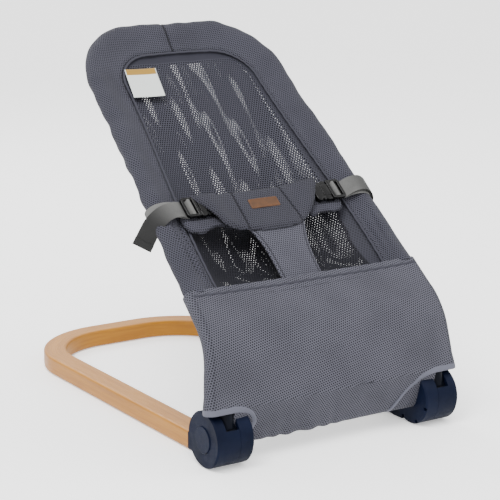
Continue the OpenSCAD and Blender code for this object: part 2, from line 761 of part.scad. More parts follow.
module buckle_socket(side) {
    n0 = buckle_n + 2.4;
    n1 = buckle_n + buckle_t - 2.4;
    hole_l = prong_l + 3 + cut;
    catch_v = buckle_w / 2 - 2.6;
    color([0.1, 0.1, 0.11]) on_back(side) difference() {
        buckle_block(socket_x0, socket_x1, buckle_w, buckle_n, buckle_n + buckle_t);
        for (s = [-1, 1]) bar_block(socket_x1 + cut, strap_v + s * prong_v, hole_l, prong_w + 2, n0, n1);
        bar_block(socket_x1 + cut, strap_v, hole_l, guide_w + 2, n0, n1);
        for (s = [-1, 1])
            bar_block(socket_x0 + 15, strap_v + s * catch_v, 8, 6, buckle_n - cut, buckle_n + buckle_t + cut);
    }
}

module buckle_plug(side) {
    slot_w = webbing_w + 1;
    low = buckle_n - cut;
    high = buckle_n + buckle_t + cut;
    color([0.1, 0.1, 0.11]) on_back(side) {
        difference() {
            buckle_block(plug_x0, plug_x1, buckle_w, buckle_n, buckle_n + buckle_t, 3);
            for (x = [11, 19]) bar_block(plug_x0 + x, strap_v, 5, slot_w, low, high);
        }
        for (s = [-1, 1])
            bar_block(plug_x0 + 1, strap_v + s * prong_v, prong_l + 1, prong_w, low + 4, high - 4);
        bar_block(plug_x0 + 1, strap_v, prong_l - 1, guide_w, low + 4.4, high - 4.4);
    }
}

// Fixed webbing: from the plug over the sleeve and round to the back of the hoop
module strap(side) {
    mid = concat([[plug_x1 + 0.5, strap_n], [strap_x - 12, strap_r]],
                 arc([strap_x, 0], strap_r, 85, -90, 5), [[strap_x - 18, -strap_r]]);
    color("gray") on_back(side)
        webbing([for (p = mid) [-p[0], strap_v, p[1]]], [for (p = mid) [0, 1, 0]],
                webbing_w, webbing_t, 2);
}

// Free ends of the webbing, chosen point by point. Each starts on top of its plug, and its
// other points are steps from the hoop's line and from the webbing round the sleeve.
function tail_path(side, steps) = concat(
    [[side * (plug_x1 + 1.2), strap_v, strap_n + 3]],
    [for (p = steps) [side * (strap_x + p[0]), strap_v + p[1], strap_r + p[2]]]);

tail_left = tail_path(-1, [[-11.9, 0, 4.8], [6.1, -3, 1.6], [22.1, -10, -9.8],
                           [27.1, -18, -25.8], [30.1, -25, -41.8]]);
tail_left_way = [[0, 1, 0], [0, 1, 0], [-0.2, 1, 0], [-0.45, 1, 0.1], [-0.62, 0.8, 0.1],
                 [-0.7, 0.72, 0.1]];
tail_right = tail_path(1, [[-11.9, 0, 4.8], [6.1, 0, 4.8], [19.6, -2, -4.8],
                           [24.1, -5, -19.8], [20.1, -8, -34.8], [12.1, -11, -47.8]]);
tail_right_way = [for (p = tail_right) [0, 1, 0]];

module left_strap_tail() {
    color("gray") on_back() webbing(tail_left, tail_left_way, webbing_w, webbing_t);
}

module right_strap_tail() {
    color("gray") on_back() webbing(tail_right, tail_right_way, webbing_w, webbing_t);
}

module left_outer_shell() { outer_shell(-1); }
module right_outer_shell() { outer_shell(1); }
module left_inner_shell() { inner_shell(-1); }
module right_inner_shell() { inner_shell(1); }
module left_lock_ring() { lock_ring(-1); }
module right_lock_ring() { lock_ring(1); }
module left_return_spring() { return_spring(-1); }
module right_return_spring() { return_spring(1); }
module left_lock_gear() { lock_gear(-1); }
module right_lock_gear() { lock_gear(1); }
module left_button() { button(-1); }
module right_button() { button(1); }
module left_knuckle() { knuckle(-1); }
module right_knuckle() { knuckle(1); }
module left_wing_pad() { wing_pad(-1); }
module right_wing_pad() { wing_pad(1); }
module left_buckle_socket() { buckle_socket(-1); }
module right_buckle_socket() { buckle_socket(1); }
module left_buckle_plug() { buckle_plug(-1); }
module right_buckle_plug() { buckle_plug(1); }
module left_strap() { strap(-1); }
module right_strap() { strap(1); }

wood_base();
foot_pads();
crossbar();
left_outer_shell();
right_outer_shell();
left_inner_shell();
right_inner_shell();
pivot_bolts();
pivot_nuts();
pivot_washers();
shell_screws();
wood_screws();
left_lock_ring();
right_lock_ring();
left_return_spring();
right_return_spring();
left_lock_gear();
right_lock_gear();
left_button();
right_button();
hoop_tube();
left_knuckle();
right_knuckle();
hoop_pins();
hoop_sleeve();
border_band();
seat_mesh();
back_mesh();
leg_panel();
hem_binding();
restraint_flap();
crotch_strap();
left_wing_pad();
right_wing_pad();
care_label();
badge_patch();
left_buckle_socket();
right_buckle_socket();
left_buckle_plug();
right_buckle_plug();
left_strap();
right_strap();
left_strap_tail();
right_strap_tail();
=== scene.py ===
# %% [markdown]
# # A bouncer seat from worked-out surfaces
# A sling of padded knit and open mesh is stretched on a bent steel hoop. The hoop stands
# in two push-button hubs, and the hubs are plugged on the ends of a bent-wood base.
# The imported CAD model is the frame: its hubs, tube, buttons and screws stay, and get
# finishes. Cloth, webbing, buckles and wood are drawn here as surfaces of two parameters.

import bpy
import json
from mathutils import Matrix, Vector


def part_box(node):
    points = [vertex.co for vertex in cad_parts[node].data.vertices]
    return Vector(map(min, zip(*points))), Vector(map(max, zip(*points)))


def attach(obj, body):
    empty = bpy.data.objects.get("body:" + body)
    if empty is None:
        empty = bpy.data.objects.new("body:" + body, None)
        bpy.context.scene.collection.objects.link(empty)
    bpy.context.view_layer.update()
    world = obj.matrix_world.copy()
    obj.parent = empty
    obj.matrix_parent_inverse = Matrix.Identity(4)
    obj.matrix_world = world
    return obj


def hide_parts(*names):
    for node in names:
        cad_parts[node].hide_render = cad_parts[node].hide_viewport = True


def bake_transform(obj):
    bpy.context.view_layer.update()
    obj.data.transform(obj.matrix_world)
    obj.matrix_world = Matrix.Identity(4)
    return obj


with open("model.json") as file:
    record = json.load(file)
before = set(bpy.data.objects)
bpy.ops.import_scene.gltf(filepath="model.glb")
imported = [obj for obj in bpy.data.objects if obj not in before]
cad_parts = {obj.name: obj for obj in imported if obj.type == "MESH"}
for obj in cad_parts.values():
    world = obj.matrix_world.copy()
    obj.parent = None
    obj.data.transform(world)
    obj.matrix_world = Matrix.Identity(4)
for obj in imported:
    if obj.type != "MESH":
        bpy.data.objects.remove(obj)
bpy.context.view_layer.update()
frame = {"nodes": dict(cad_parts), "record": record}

# %% [markdown]
# ## Where things are
# Lengths are in mm until a mesh is made. The hub axis comes from the recline joint. The
# backrest has a frame of its own: x across, v up the back from the corner of the knee,
# and n out of its plane, towards the child.

# %% The hub axis and the backrest's frame
import json
import bpy
import numpy as np
from mathutils import Matrix

MM = 0.001
joints = {j["name"]: j for j in frame["record"]["behaviour"]["joints"]}
PIVOT = np.array(joints["recline_tilt"]["pos_m"]) / MM
BACK_ANGLE = np.radians(39.4)
KNEE = PIVOT + [0, -2.45, 130.25]
LEG_LEAN = np.radians(9)


def on_back(x, v, n):
    """Row frame from backrest frame: y = knee + v cos a - n sin a, z = knee + v sin a + n cos a."""
    x, v, n = np.broadcast_arrays(x, v, n)
    return np.stack([x, KNEE[1] + v * np.cos(BACK_ANGLE) - n * np.sin(BACK_ANGLE),
                     KNEE[2] + v * np.sin(BACK_ANGLE) + n * np.cos(BACK_ANGLE)], -1)


UP_BACK = on_back(0, 0, 1) - on_back(0, 0, 0)
print("hub axis", PIVOT.round(2), "knee corner", KNEE.round(2))

# %% [markdown]
# ## From a grid of points to a mesh
# Every surface is a grid: rows along one parameter, columns along the other. Neighbours
# make quads. Points that coincide, as at a pole or where a tube closes on itself, are
# merged, so that the finished mesh has no open seam.

# %% Grid helpers
import bmesh


def lengths(points, axis):
    """Distance travelled along one direction of a grid, averaged over the other."""
    step = np.linalg.norm(np.diff(points, axis=axis), axis=-1).mean(1 - axis)
    return np.concatenate([[0], np.cumsum(step)])


def grid(points, uv=None, keep=None, **marks):
    """One patch: points (rows, columns, 3) in mm, uv (rows, columns, 2) in mm, marks (rows, columns)."""
    rows, cols = points.shape[:2]
    if uv is None:
        uv = np.stack(np.meshgrid(lengths(points, 0), lengths(points, 1), indexing="ij"), -1)
    a = np.arange(rows * cols).reshape(rows, cols)
    quads = np.stack([a[:-1, :-1], a[:-1, 1:], a[1:, 1:], a[1:, :-1]], -1)
    quads = quads.reshape(-1, 4) if keep is None else quads[keep]
    return {"points": points.reshape(-1, 3), "uv": uv.reshape(-1, 2), "quads": quads,
            "marks": {k: m.ravel() for k, m in marks.items()}}


def make(name, *patches, closed=True, sharp=40):
    """Join patches in one mesh, in metres, merge what coincides and turn closed ones outwards."""
    start = np.cumsum([0] + [len(p["points"]) for p in patches])[:-1]
    quads = np.concatenate([p["quads"] + s for p, s in zip(patches, start)])
    uv = np.concatenate([p["uv"] for p in patches]) * MM
    mesh = bpy.data.meshes.new(name)
    mesh.from_pydata(np.concatenate([p["points"] for p in patches]) * MM, [], quads.tolist())
    mesh.uv_layers.new(name="cloth").data.foreach_set("uv", uv[quads.ravel()].ravel().astype(np.float32))
    for mark in patches[0]["marks"]:
        values = np.concatenate([p["marks"][mark] for p in patches])
        mesh.attributes.new(mark, "FLOAT", "POINT").data.foreach_set("value", values)
    bm = bmesh.new()
    bm.from_mesh(mesh)
    bmesh.ops.remove_doubles(bm, verts=bm.verts, dist=1e-6)
    if closed:
        bmesh.ops.recalc_face_normals(bm, faces=bm.faces)
    bm.to_mesh(mesh)
    bm.free()
    mesh.polygons.foreach_set("use_smooth", [True] * len(mesh.polygons))
    mesh.set_sharp_from_angle(angle=np.radians(sharp))
    obj = bpy.data.objects.new(name, mesh)
    bpy.context.scene.collection.objects.link(obj)
    return obj


def thicken(obj, mm):
    """Give a one-sided sheet its thickness, half to each side."""
    wall = obj.modifiers.new("thickness", "SOLIDIFY")
    wall.thickness, wall.offset = mm * MM, 0.0


def dress(obj, finish, slot, body, *nodes):
    """Give a piece its finish, the CAD nodes it stands for and the body it rides; slot is not used."""
    obj.data.materials.append(finish)
    if nodes:
        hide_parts(*nodes)
    if body:
        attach(obj, body)
    print(obj.name, len(obj.data.polygons), "faces")


# %% Directions, bumps and smooth curves
def unit(v):
    """Each vector divided by its length."""
    return v / np.maximum(np.linalg.norm(v, axis=-1, keepdims=True), 1e-9)


def normals(points):
    """Cross product of the grid's two directions."""
    return unit(np.cross(np.gradient(points, axis=0), np.gradient(points, axis=1)))


def hill(x, centre, width):
    """Bell curve exp(-((x - c) / w)^2)."""
    return np.exp(-((x - centre) / width) ** 2)


def ease(x, low=0.0, high=1.0):
    """0 below low, 1 above high, and 3t^2 - 2t^3 between."""
    t = np.clip((x - low) / (high - low), 0, 1)
    return t * t * (3 - 2 * t)


def through(points, count):
    """Catmull-Rom curve through the points, at count even steps of the parameter."""
    p = np.asarray(points, float)
    p = np.concatenate([2 * p[:1] - p[1:2], p, 2 * p[-1:] - p[-2:-1]])
    t = np.linspace(0, len(p) - 3, count)
    i = np.minimum(t.astype(int), len(p) - 4)
    f = (t - i)[:, None]
    a, b, c, d = p[i], p[i + 1], p[i + 2], p[i + 3]
    return 0.5 * (2 * b + (c - a) * f + (2 * a - 5 * b + 4 * c - d) * f**2
                  + (3 * b - a - 3 * c + d) * f**3)


def capped(rows):
    """Close a tube's two ends with a point in the middle of each."""
    ends = [np.broadcast_to(r.mean(0), r.shape)[None] for r in (rows[0], rows[-1])]
    return np.concatenate([ends[0], rows, ends[1]])


def ends_repeated(rows):
    """First and last row once more, for the map or mark of a capped tube."""
    return np.concatenate([rows[:1], rows, rows[-1:]])


# %% Profiles carried along paths
def pebble(w, h, power=4.0, count=24):
    """Closed outline |2a/w|^p + |2b/h|^p = 1, from an ellipse at p = 2 to nearly a box at p = 8."""
    t = np.linspace(0, 2 * np.pi, count + 1)
    c, s = np.cos(t), np.sin(t)
    return np.stack([w / 2 * np.sign(c) * abs(c) ** (2 / power),
                     h / 2 * np.sign(s) * abs(s) ** (2 / power)], -1)


def carry(path, side, outline):
    """Each point of the path plus outline_a times side plus outline_b times (tangent x side)."""
    tangent = unit(np.gradient(path, axis=0))
    up = unit(np.cross(tangent, side))
    side = np.cross(up, tangent)
    return path[:, None] + outline[None, :, :1] * side[:, None] + outline[None, :, 1:] * up[:, None]


def rounded(corners, radius, steps=7):
    """Polygon whose corners are parabola arcs (1-t)^2 A + 2t(1-t) C + t^2 B; closed."""
    c = np.asarray(corners, float)
    to_last, to_next = np.roll(c, 1, 0) - c, np.roll(c, -1, 0) - c
    cut = np.minimum(np.broadcast_to(np.asarray(radius, float), len(c)),
                     0.48 * np.minimum(np.linalg.norm(to_last, axis=1),
                                       np.linalg.norm(to_next, axis=1)))[:, None]
    a, b = c + unit(to_last) * cut, c + unit(to_next) * cut
    t = np.linspace(0, 1, steps)[None, :, None]
    arcs = (1 - t) ** 2 * a[:, None] + 2 * t * (1 - t) * c[:, None] + t**2 * b[:, None]
    path = arcs.reshape(-1, c.shape[1])
    return np.concatenate([path, path[:1]])


def even(path, count):
    """The same path at count equal steps of its length."""
    s = np.concatenate([[0], np.cumsum(np.linalg.norm(np.diff(path, axis=0), axis=1))])
    return np.stack([np.interp(np.linspace(0, s[-1], count), s, k) for k in path.T], -1)


def pillow(outline, low, high, edge, crown=0.0, rings=8):
    """Slab with a rounded rim. The outline shrinks to its middle below and above, and by
    edge (1 - cos q) at the rim, while the height runs through edge (1 - sin q)."""
    inward = unit(np.stack([-np.gradient(outline[:, 1]), np.gradient(outline[:, 0])], -1))
    inward[0] = inward[-1] = unit(inward[0] + inward[-1])
    middle = outline[:-1].mean(0)
    if ((middle - outline) * inward).sum() < 0:
        inward = -inward
    q = np.linspace(0, np.pi / 2, 5)
    rim = outline + inward * edge * (1 - np.cos(q))[:, None, None]
    scale = np.linspace(0, 1, rings, endpoint=False)[:, None, None]
    flat = middle + (rim[-1] - middle) * scale
    height = np.broadcast_to(high + crown * (1 - scale[..., 0] ** 2), flat.shape[:2])
    side = edge * (1 - np.sin(q))[:, None] + 0 * rim[..., 0]
    xy = np.concatenate([flat, rim[::-1], rim, flat[::-1]])
    n = np.concatenate([np.full(flat.shape[:2], float(low)), low + side[::-1],
                        high - side, height[::-1]])
    return xy[..., 0], xy[..., 1], n


# %% [markdown]
# ## Shader maths as plain expressions
# `Value` wraps a socket, so `1 - mask * 2` adds Math nodes. `Finish` is one material: its
# `node` method adds any node from a type, its settings, and the values of its sockets.

# %% A small language for materials
def operator(operation, swapped=False):
    """A method that adds one Math node for self and other, in this order or swapped."""
    def apply(self, other):
        terms = (other, self) if swapped else (self, other)
        return self.math(operation, *terms)
    return apply


class Value:
    """A socket that can be added, subtracted and multiplied."""

    def __init__(self, finish, socket):
        self.finish, self.socket = finish, socket

    def math(self, operation, *terms):
        return self.finish.node("ShaderNodeMath", {"operation": operation}, dict(enumerate(terms)))

    def cos(self):
        return self.math("COSINE", self)

    def abs(self):
        return self.math("ABSOLUTE", self)

    __add__ = __radd__ = operator("ADD")
    __mul__ = __rmul__ = operator("MULTIPLY")
    __sub__ = operator("SUBTRACT")
    __rsub__ = operator("SUBTRACT", swapped=True)


def srgb(r, g, b):
    """Screen colour 0..255 to linear, with alpha 1."""
    c = np.array([r, g, b]) / 255
    return (*np.where(c <= 0.04045, c / 12.92, ((c + 0.055) / 1.055) ** 2.4).tolist(), 1.0)


class Finish:
    """One material. Keyword values are set on the shader's own sockets."""

    def __init__(self, name, **constants):
        self.material = bpy.data.materials.new(name)
        self.material.use_nodes = True
        self.tree = self.material.node_tree
        self.shader = self.tree.nodes["Principled BSDF"]
        for key, value in constants.items():
            self.shader.inputs[key.replace("_", " ")].default_value = value

    def node(self, kind, settings=(), values=(), out=0):
        node = self.tree.nodes.new(kind)
        for key, value in dict(settings).items():
            setattr(node, key, value)
        for key, value in dict(values).items():
            if isinstance(value, Value):
                self.tree.links.new(value.socket, node.inputs[key])
            else:
                node.inputs[key].default_value = value
        return Value(self, node.outputs[out])

    def set(self, **links):
        for key, value in links.items():
            self.tree.links.new(value.socket, self.shader.inputs[key.replace("_", " ")])

    def coords(self, kind="Object"):
        return self.node("ShaderNodeTexCoord", out=["Generated", "Normal", "UV", "Object"].index(kind))

    def split(self, vector):
        node = self.tree.nodes.new("ShaderNodeSeparateXYZ")
        self.tree.links.new(vector.socket, node.inputs[0])
        return [Value(self, s) for s in node.outputs]

    def join(self, x, y, z):
        return self.node("ShaderNodeCombineXYZ", {}, {0: x, 1: y, 2: z})

    def mix(self, factor, a, b):
        return self.node("ShaderNodeMix", {"data_type": "RGBA"}, {0: factor, 6: a, 7: b}, 2)

    def ramp(self, value, low, high, a=0.0, b=1.0):
        return self.node("ShaderNodeMapRange", {"interpolation_type": "SMOOTHSTEP"},
                         {0: value, 1: low, 2: high, 3: a, 4: b})

    def noise(self, where, scale, detail=3.0, roughness=0.55):
        return self.node("ShaderNodeTexNoise", {}, {"Vector": where, "Scale": scale,
                         "Detail": detail, "Roughness": roughness})

    def mark(self, name):
        return self.node("ShaderNodeAttribute", {"attribute_name": name}, out=2)

    def bump(self, height, depth, strength=1.0):
        normal = self.node("ShaderNodeBump", {}, {"Height": height, "Distance": depth,
                                                  "Strength": strength})
        self.set(Normal=normal)


# %% [markdown]
# ## Knitted cloth
# The cover is a spacer knit: two faces held apart by pile, with a lattice of small dimples.
# Three cosine waves, 60 degrees apart, add up to a triangular lattice of peaks, which is
# just how the dimples lie. The open mesh uses the same waves, and its peaks are holes.

# %% The lattice, and the two knits
LINE = 0.0032
MESH_LINE = 0.0036


def lattice(finish, u, v, line=LINE, turn=0.0):
    """cos(g1.p) + cos(g2.p) + cos(g3.p), from -1.5 between dimples to 3 in the middle of one."""
    k = 2 * np.pi / line
    waves = [(u * (k * np.cos(a)) + v * (k * np.sin(a))).cos()
             for a in np.radians(turn) + np.radians([-30.0, 30.0, 90.0])]
    return waves[0] + waves[1] + waves[2]


def spacer_knit(name, light, dark, turn=0.0):
    f = Finish(name, Specular_IOR_Level=0.12, Sheen_Weight=0.03, Sheen_Roughness=0.5)
    u, v, _ = f.split(f.coords("UV"))
    where = f.join(u, v, 0.0)
    wave = lattice(f, u, v, turn=turn)
    dimple = f.ramp(wave, -0.7, 1.7)
    yarn = (u * 5200.0 + v * 2600.0).cos() * 0.5 + 0.5
    patchy = f.noise(where, 14.0, 2.0)
    fuzz = f.noise(where, 900.0, 2.0)
    tone = f.mix(dimple, light, dark)
    tone = f.mix(f.ramp(patchy, 0.3, 0.75) * 0.2, tone, dark)
    tone = f.mix(f.ramp(fuzz, 0.45, 0.8) * 0.12, tone, srgb(88, 88, 98))
    # Where the seam mark is set, the knit is painted nearly black: painted shade in the seam grooves and
    # along the hems.
    seam = f.mark("seam")
    f.set(Base_Color=f.mix(seam, tone, srgb(10, 10, 14)),
          Roughness=f.ramp(fuzz, 0.2, 0.8, 0.74, 0.92) + seam * 0.05)
    f.bump(fuzz * 0.12 + yarn * 0.08 - dimple, 0.0008, 0.9)
    return f.material


knit = spacer_knit("padded_knit", srgb(60, 60, 69), srgb(15, 15, 20))
leg_knit = spacer_knit("leg_knit", srgb(76, 76, 85), srgb(13, 13, 18), turn=10.0)
smooth_knit = spacer_knit("strap_knit", srgb(74, 74, 83), srgb(26, 26, 32))
flap_knit = spacer_knit("flap_knit", srgb(54, 54, 62), srgb(16, 16, 21))
print("knit materials", knit.name, leg_knit.name, smooth_knit.name)


# %% The open mesh
def open_mesh(name, light, dark, hole):
    """Holes where the lattice peaks. Where the mark "closed" is 1 the cloth is whole: dark and
    smooth on the left, and dimpled like the border on the right."""
    f = Finish(name, Specular_IOR_Level=0.15)
    u, v, _ = f.split(f.coords("UV"))
    wave = lattice(f, u, v, MESH_LINE)
    closed = f.mark("closed")
    fuzz = f.noise(f.join(u, v, 0.0), 700.0, 2.0)
    tone = f.mix(f.ramp(wave, -1.3, 0.6) * (1 - closed), light, dark)
    right_wall = f.ramp(u, 0.06, 0.1)
    side_tone = f.mix(right_wall, srgb(26, 26, 34), srgb(40, 40, 48))
    wall = f.mix(f.ramp(wave, -0.7, 1.7) * right_wall, side_tone, srgb(12, 12, 17))
    tone = f.mix(closed * 0.8, tone, wall)
    # Low in the seat, below v of 0.17 to 0.24 m, the mesh is painted toward nearly black: painted shade in
    # the deep seat well.
    tone = f.mix(f.ramp(v, 0.17, 0.24, 0.72, 0.0) * (1 - right_wall * closed), tone, srgb(8, 8, 12))
    f.set(Base_Color=f.mix(f.ramp(fuzz, 0.4, 0.8) * 0.08, tone, srgb(80, 80, 90)),
          Roughness=0.62 - closed * (1 - right_wall) * 0.14 + fuzz * 0.1,
          Alpha=f.ramp(wave - closed * 6.0, hole, hole + 0.25, 1.0, 0.0))
    f.bump(fuzz * 0.15 - wave * 0.3 * (1 - closed), 0.0004, 0.7)
    return f.material


seat_knit = open_mesh("seat_mesh_knit", srgb(56, 56, 65), srgb(16, 16, 22), 1.0)
rear_knit = open_mesh("rear_mesh_knit", srgb(36, 36, 44), srgb(14, 14, 20), 1.0)
print("open mesh materials", seat_knit.name, rear_knit.name)

# %% [markdown]
# ## The shape of the sling
# Two lines in the backrest's plane say it all: the hoop's tube and the inner seam of the
# padded border. Each runs up one side, round a corner and over the head, and is mirrored.
# Both are cut in the same steps, so a point of one has its partner on the other.

# %% Hoop line, seam line and panel width
KNEE_V, HEAD_V, SEAM_TOP = 84.0, 578.0, 530.0
SIDE_STEPS, TURN_STEPS, TOP_STEPS = 112, 42, 18


def hoop_x(v):
    """Tube line of one side, which leans in by 2.6 degrees."""
    return 178 - np.tan(np.radians(2.6)) * v


seam_fit = np.polyfit([84, 168, 252, 355, 445, 531], [143.5, 142, 134.5, 123.5, 118, 115], 3)


def arch(side_x, low, top, r, crown=0.0):
    """Side from low up to top - r, quarter circle of radius r, then a shallow crown to the middle;
    mirrored, and returned as (x, v) from right to left."""
    v = np.linspace(low, top - r, SIDE_STEPS)
    middle = side_x(top - r) - r
    q = np.linspace(0, np.pi / 2, TURN_STEPS + 1)[1:]
    x = np.linspace(middle, 0, TOP_STEPS + 1)[1:]
    half = np.concatenate([np.stack([side_x(v), v], -1),
                           np.stack([middle + r * np.cos(q), top - r + r * np.sin(q)], -1),
                           np.stack([x, top + crown * (1 - (x / middle) ** 2)], -1)])
    return np.concatenate([half, half[-2::-1] * [-1, 1]])


tube_line = arch(hoop_x, KNEE_V - 4, HEAD_V, 99.5, 1.0)
seam_line = arch(lambda v: np.polyval(seam_fit, v), KNEE_V - 4, SEAM_TOP, 62.0, 1.5)
run = np.concatenate([[0], np.cumsum(np.linalg.norm(np.diff(tube_line, axis=0), axis=1))])
print("hoop line", len(tube_line), "stations,", round(run[-1]), "mm long")

# %% [markdown]
# ## The padded border
# The border is a sleeve for the tube: it lies flat at its inner seam, swells up to the tube,
# wraps it and comes back behind. So it is one closed section, a flat drop, carried along
# the two lines. Cloth pulled round a bend puckers, so folds are pushed in along its normal.

# %% Border: a drop-shaped section between seam and tube
def border_section(across, rx, rn):
    """Section in (c, n) with the tube's middle at c = 0 and the seam at c = -across. Above,
    n rises from the seam by an eased step to rn; round the tube it is an ellipse rx by rn."""
    x = np.linspace(0, 1, 30)[None] ** 1.25
    lip = np.sqrt(np.clip(1 - (1 - x / 0.14) ** 2, 0, 1)) * (x < 0.14) + (x >= 0.14)
    c = -across[:, None] * (1 - x)
    top = lip * (3.4 + (rn[:, None] - 3.4) * ease(x, 0.1, 1))
    under = -lip * (2.6 + (rn[:, None] - 2.6) * ease(x, 0.3, 1))
    q = np.linspace(np.pi / 2, -np.pi / 2, 22)[1:-1][None]
    return (np.concatenate([c, rx[:, None] * np.cos(q), c[:, ::-1]], 1),
            np.concatenate([top, rn[:, None] * np.sin(q), under[:, ::-1]], 1))


height = tube_line[:, 1]
outward = unit(tube_line - seam_line)
across = np.linalg.norm(tube_line - seam_line, axis=1)
rx = np.interp(height, [80, 150, 225, 300, 440, 560, 579], [18.2, 18.2, 16.4, 13.8, 13.4, 13.4, 12.8])
rn = 12.6 + 0.6 * np.sin(run / 61)
c, n = border_section(across, rx, rn)
xv = tube_line[:, None] + outward[:, None] * c[..., None]
border = on_back(xv[..., 0], xv[..., 1], n)

# %% Border: folds, puckers and the seam over the head
share = np.clip(-c / across[:, None], -1, 1) * (n > -1)
left = tube_line[:, :1] < 0
v_at = height[:, None] + 0 * c
out_dir = normals(border)
out_dir[:, 0] = out_dir[:, -1] = unit(out_dir[:, 0] + out_dir[:, -1])
middle_out = (out_dir * (border - border.mean(1, keepdims=True))).sum()
out_dir *= np.sign(middle_out)
top_side = ease(n, 0, 4)
drift = 0.9 * np.sin(run / 23)[:, None] * np.sin(share * 3) + 0.7 * np.sin(run / 37 + 1)[:, None]
pucker = 0.55 * np.sin(run / 2.7)[:, None] * hill(share, 0.93, 0.1) * (1 + np.sin(run / 41))[:, None]
lines = sum(hill(share + (v_at - 150) * slope, place, wide) * hill(v_at, at, long) * deep
            for place, slope, wide, at, long, deep in [
                (0.28, 0.0016, 0.06, 150, 36, -4.2), (0.52, 0.0008, 0.07, 140, 40, 3.0),
                (0.72, 0.0003, 0.055, 152, 44, -3.8), (0.1, 0.0022, 0.08, 168, 30, 2.4)])
folds = 1.5 * lines * left + 0.4 * lines * ~left
slack = (1.1 * hill(run[:, None], 330, 26) * np.sin(share * 5)
         + 0.9 * hill(run[:, None], 905, 40) * np.sin(share * 4 + 1))
edge_wave = (1.0 * np.sin(run / 9.1) + 0.7 * np.sin(run / 5.2 + 1) + 0.8 * np.sin(run / 17 + 2))
edge_wave = (edge_wave * (0.75 + 0.25 * np.sin(run / 70)))[:, None] * hill(share, -0.05, 0.3)
cross = hill(xv[..., 0] + 9 - 0.12 * (v_at - 555), 0, 1.3) * (height[:, None] > 500)
push = (drift + pucker + folds + slack) * top_side + 0.8 * edge_wave - 1.3 * cross
border = border + out_dir * push[..., None]
# The inner seam and the seam over the head are painted dark through the seam mark: painted shade in their
# grooves.
inner = hill(share, 1.0, 0.045) * top_side * 0.8
around = np.concatenate([np.zeros((len(c), 1)), np.cumsum(np.linalg.norm(np.diff(
    np.stack([c, n], -1), axis=1), axis=-1), axis=1)], 1) - across[:, None]
border_uv = tube_line[:, None] + outward[:, None] * around[..., None]
seam_groove_shade = np.clip(cross * 0.9 + inner, 0, 1)

padded_border = make("padded_border", grid(capped(border), ends_repeated(border_uv),
                                           seam=ends_repeated(seam_groove_shade)), sharp=60)
dress(padded_border, knit, "spacer_fabric", "seat", "hoop_sleeve", "border_band")

# %% [markdown]
# ## The hammock of mesh
# A child sits in two layers of mesh that hang from the inner seam: deepest low down, where
# the weight is, and nearly flat behind the head. Where the holes of both layers line up,
# light comes through, so the second layer is a real one a few mm behind the first.

# %% How deep the mesh hangs, and how wide it is
SAG = 36.0


def hang(v):
    """Share of the deepest sag: d (2 - d), with d = (1 - f)^1.6 min(1, 7 f), f from knee to head."""
    f = np.clip((v - KNEE_V) / (SEAM_TOP - KNEE_V), 0, 1)
    d = (1 - f) ** 1.6 * np.minimum(1, f * 7)
    return d * (2 - d)


def panel_half(v, tuck=4.0):
    """Half width at height v: the seam line plus what is tucked in the border, with round top corners."""
    r, top = 62.0 + tuck, SEAM_TOP + tuck
    low = top - r
    side = np.polyval(seam_fit, np.minimum(v, low)) + tuck
    return side - r + np.sqrt(np.clip(r**2 - np.clip(v - low, 0, r) ** 2, 0, None))


def mesh_layer(drop, rim_drop, wave, shift, ripple):
    """Rows up the back, columns across: n = -drop - sag hang(v) (1 - |f|^3), with long soft waves.
    Within 16 mm of its edge the drop eases to rim_drop, where the layer is sewn in."""
    v = (KNEE_V - 3 + (SEAM_TOP + 7 - KNEE_V) * (1 - (1 - np.linspace(0, 1, 120)) ** 1.12))[:, None]
    f = np.linspace(-1, 1, 90)[None]
    half = panel_half(v)
    x = f * half
    flat = 1 - abs(f) ** 3
    to_edge = np.minimum((1 - abs(f)) * half, np.minimum(v - KNEE_V + 3, SEAM_TOP + 7 - v))
    n = -rim_drop - (drop - rim_drop) * ease(to_edge, 0, 16) - SAG * hang(v) * flat
    n = n + wave * flat * (np.sin(x / ripple + shift + v / 60)
                           + 0.55 * np.sin(x / (0.57 * ripple) - v / 44 + 2 * shift)
                           + 0.5 * np.sin(v / 21 + x / 30 + shift))
    n = n + 1.6 * flat * np.sin(v / 28 + shift) * hill(v, 130, 60)
    points = on_back(x, v, n)
    rim = (1 - abs(f)) * half
    strip = np.interp(v[:, 0], [84, 150, 210, 260, 560], [22, 20, 14, 10, 9])[:, None]
    closed = np.maximum(1 - ease(rim, strip - 0.8, strip + 0.8),
                        ease(v + 0 * x, SEAM_TOP - 17, SEAM_TOP - 15))
    uv = np.stack([x + 0 * v, v + 0 * x], -1)
    return points, uv, closed


front = mesh_layer(1.0, 1.0, 0.45, 0.3, 9.5)
rear = mesh_layer(6.5, 1.9, 1.5, 1.7, 6.4)

# %% Mesh layers as sheets of cloth
for name, (points, uv, closed), cloth, node in (("seat_mesh_cloth", front, seat_knit, "seat_mesh"),
                                                ("rear_mesh_cloth", rear, rear_knit, "back_mesh")):
    layer = make(name, grid(points, uv, closed=closed), closed=False)
    thicken(layer, 0.5)
    dress(layer, cloth, "mesh_fabric", "seat", node)

# %% [markdown]
# ## The leg panel
# One padded panel starts under the crossbar, rises in front of the hoop's legs, turns over
# the knee and ends in the knee seam. Along each leg it is a sleeve: it folds round the
# outside of the tube and comes back behind. Two corners are cut out to clear the hubs.

# %% Side view of the panel, by distance from the hoop
LEG_WAY = np.array([np.sin(LEG_LEAN), np.cos(LEG_LEAN)])
LEG_OUT = np.array([-LEG_WAY[1], LEG_WAY[0]])
BACK_WAY = np.array([np.cos(BACK_ANGLE), np.sin(BACK_ANGLE)])
BACK_OUT = np.array([-BACK_WAY[1], BACK_WAY[0]])
KNEE_R = 85.0
knee_yz, pivot_yz = KNEE[1:], PIVOT[1:]
knee_cut = KNEE_R * np.tan((np.pi / 2 - LEG_LEAN - BACK_ANGLE) / 2)
slot_foot = (knee_yz - pivot_yz) @ LEG_WAY - 39.6
CUT_X, CUT_U = 33.0, 30.0


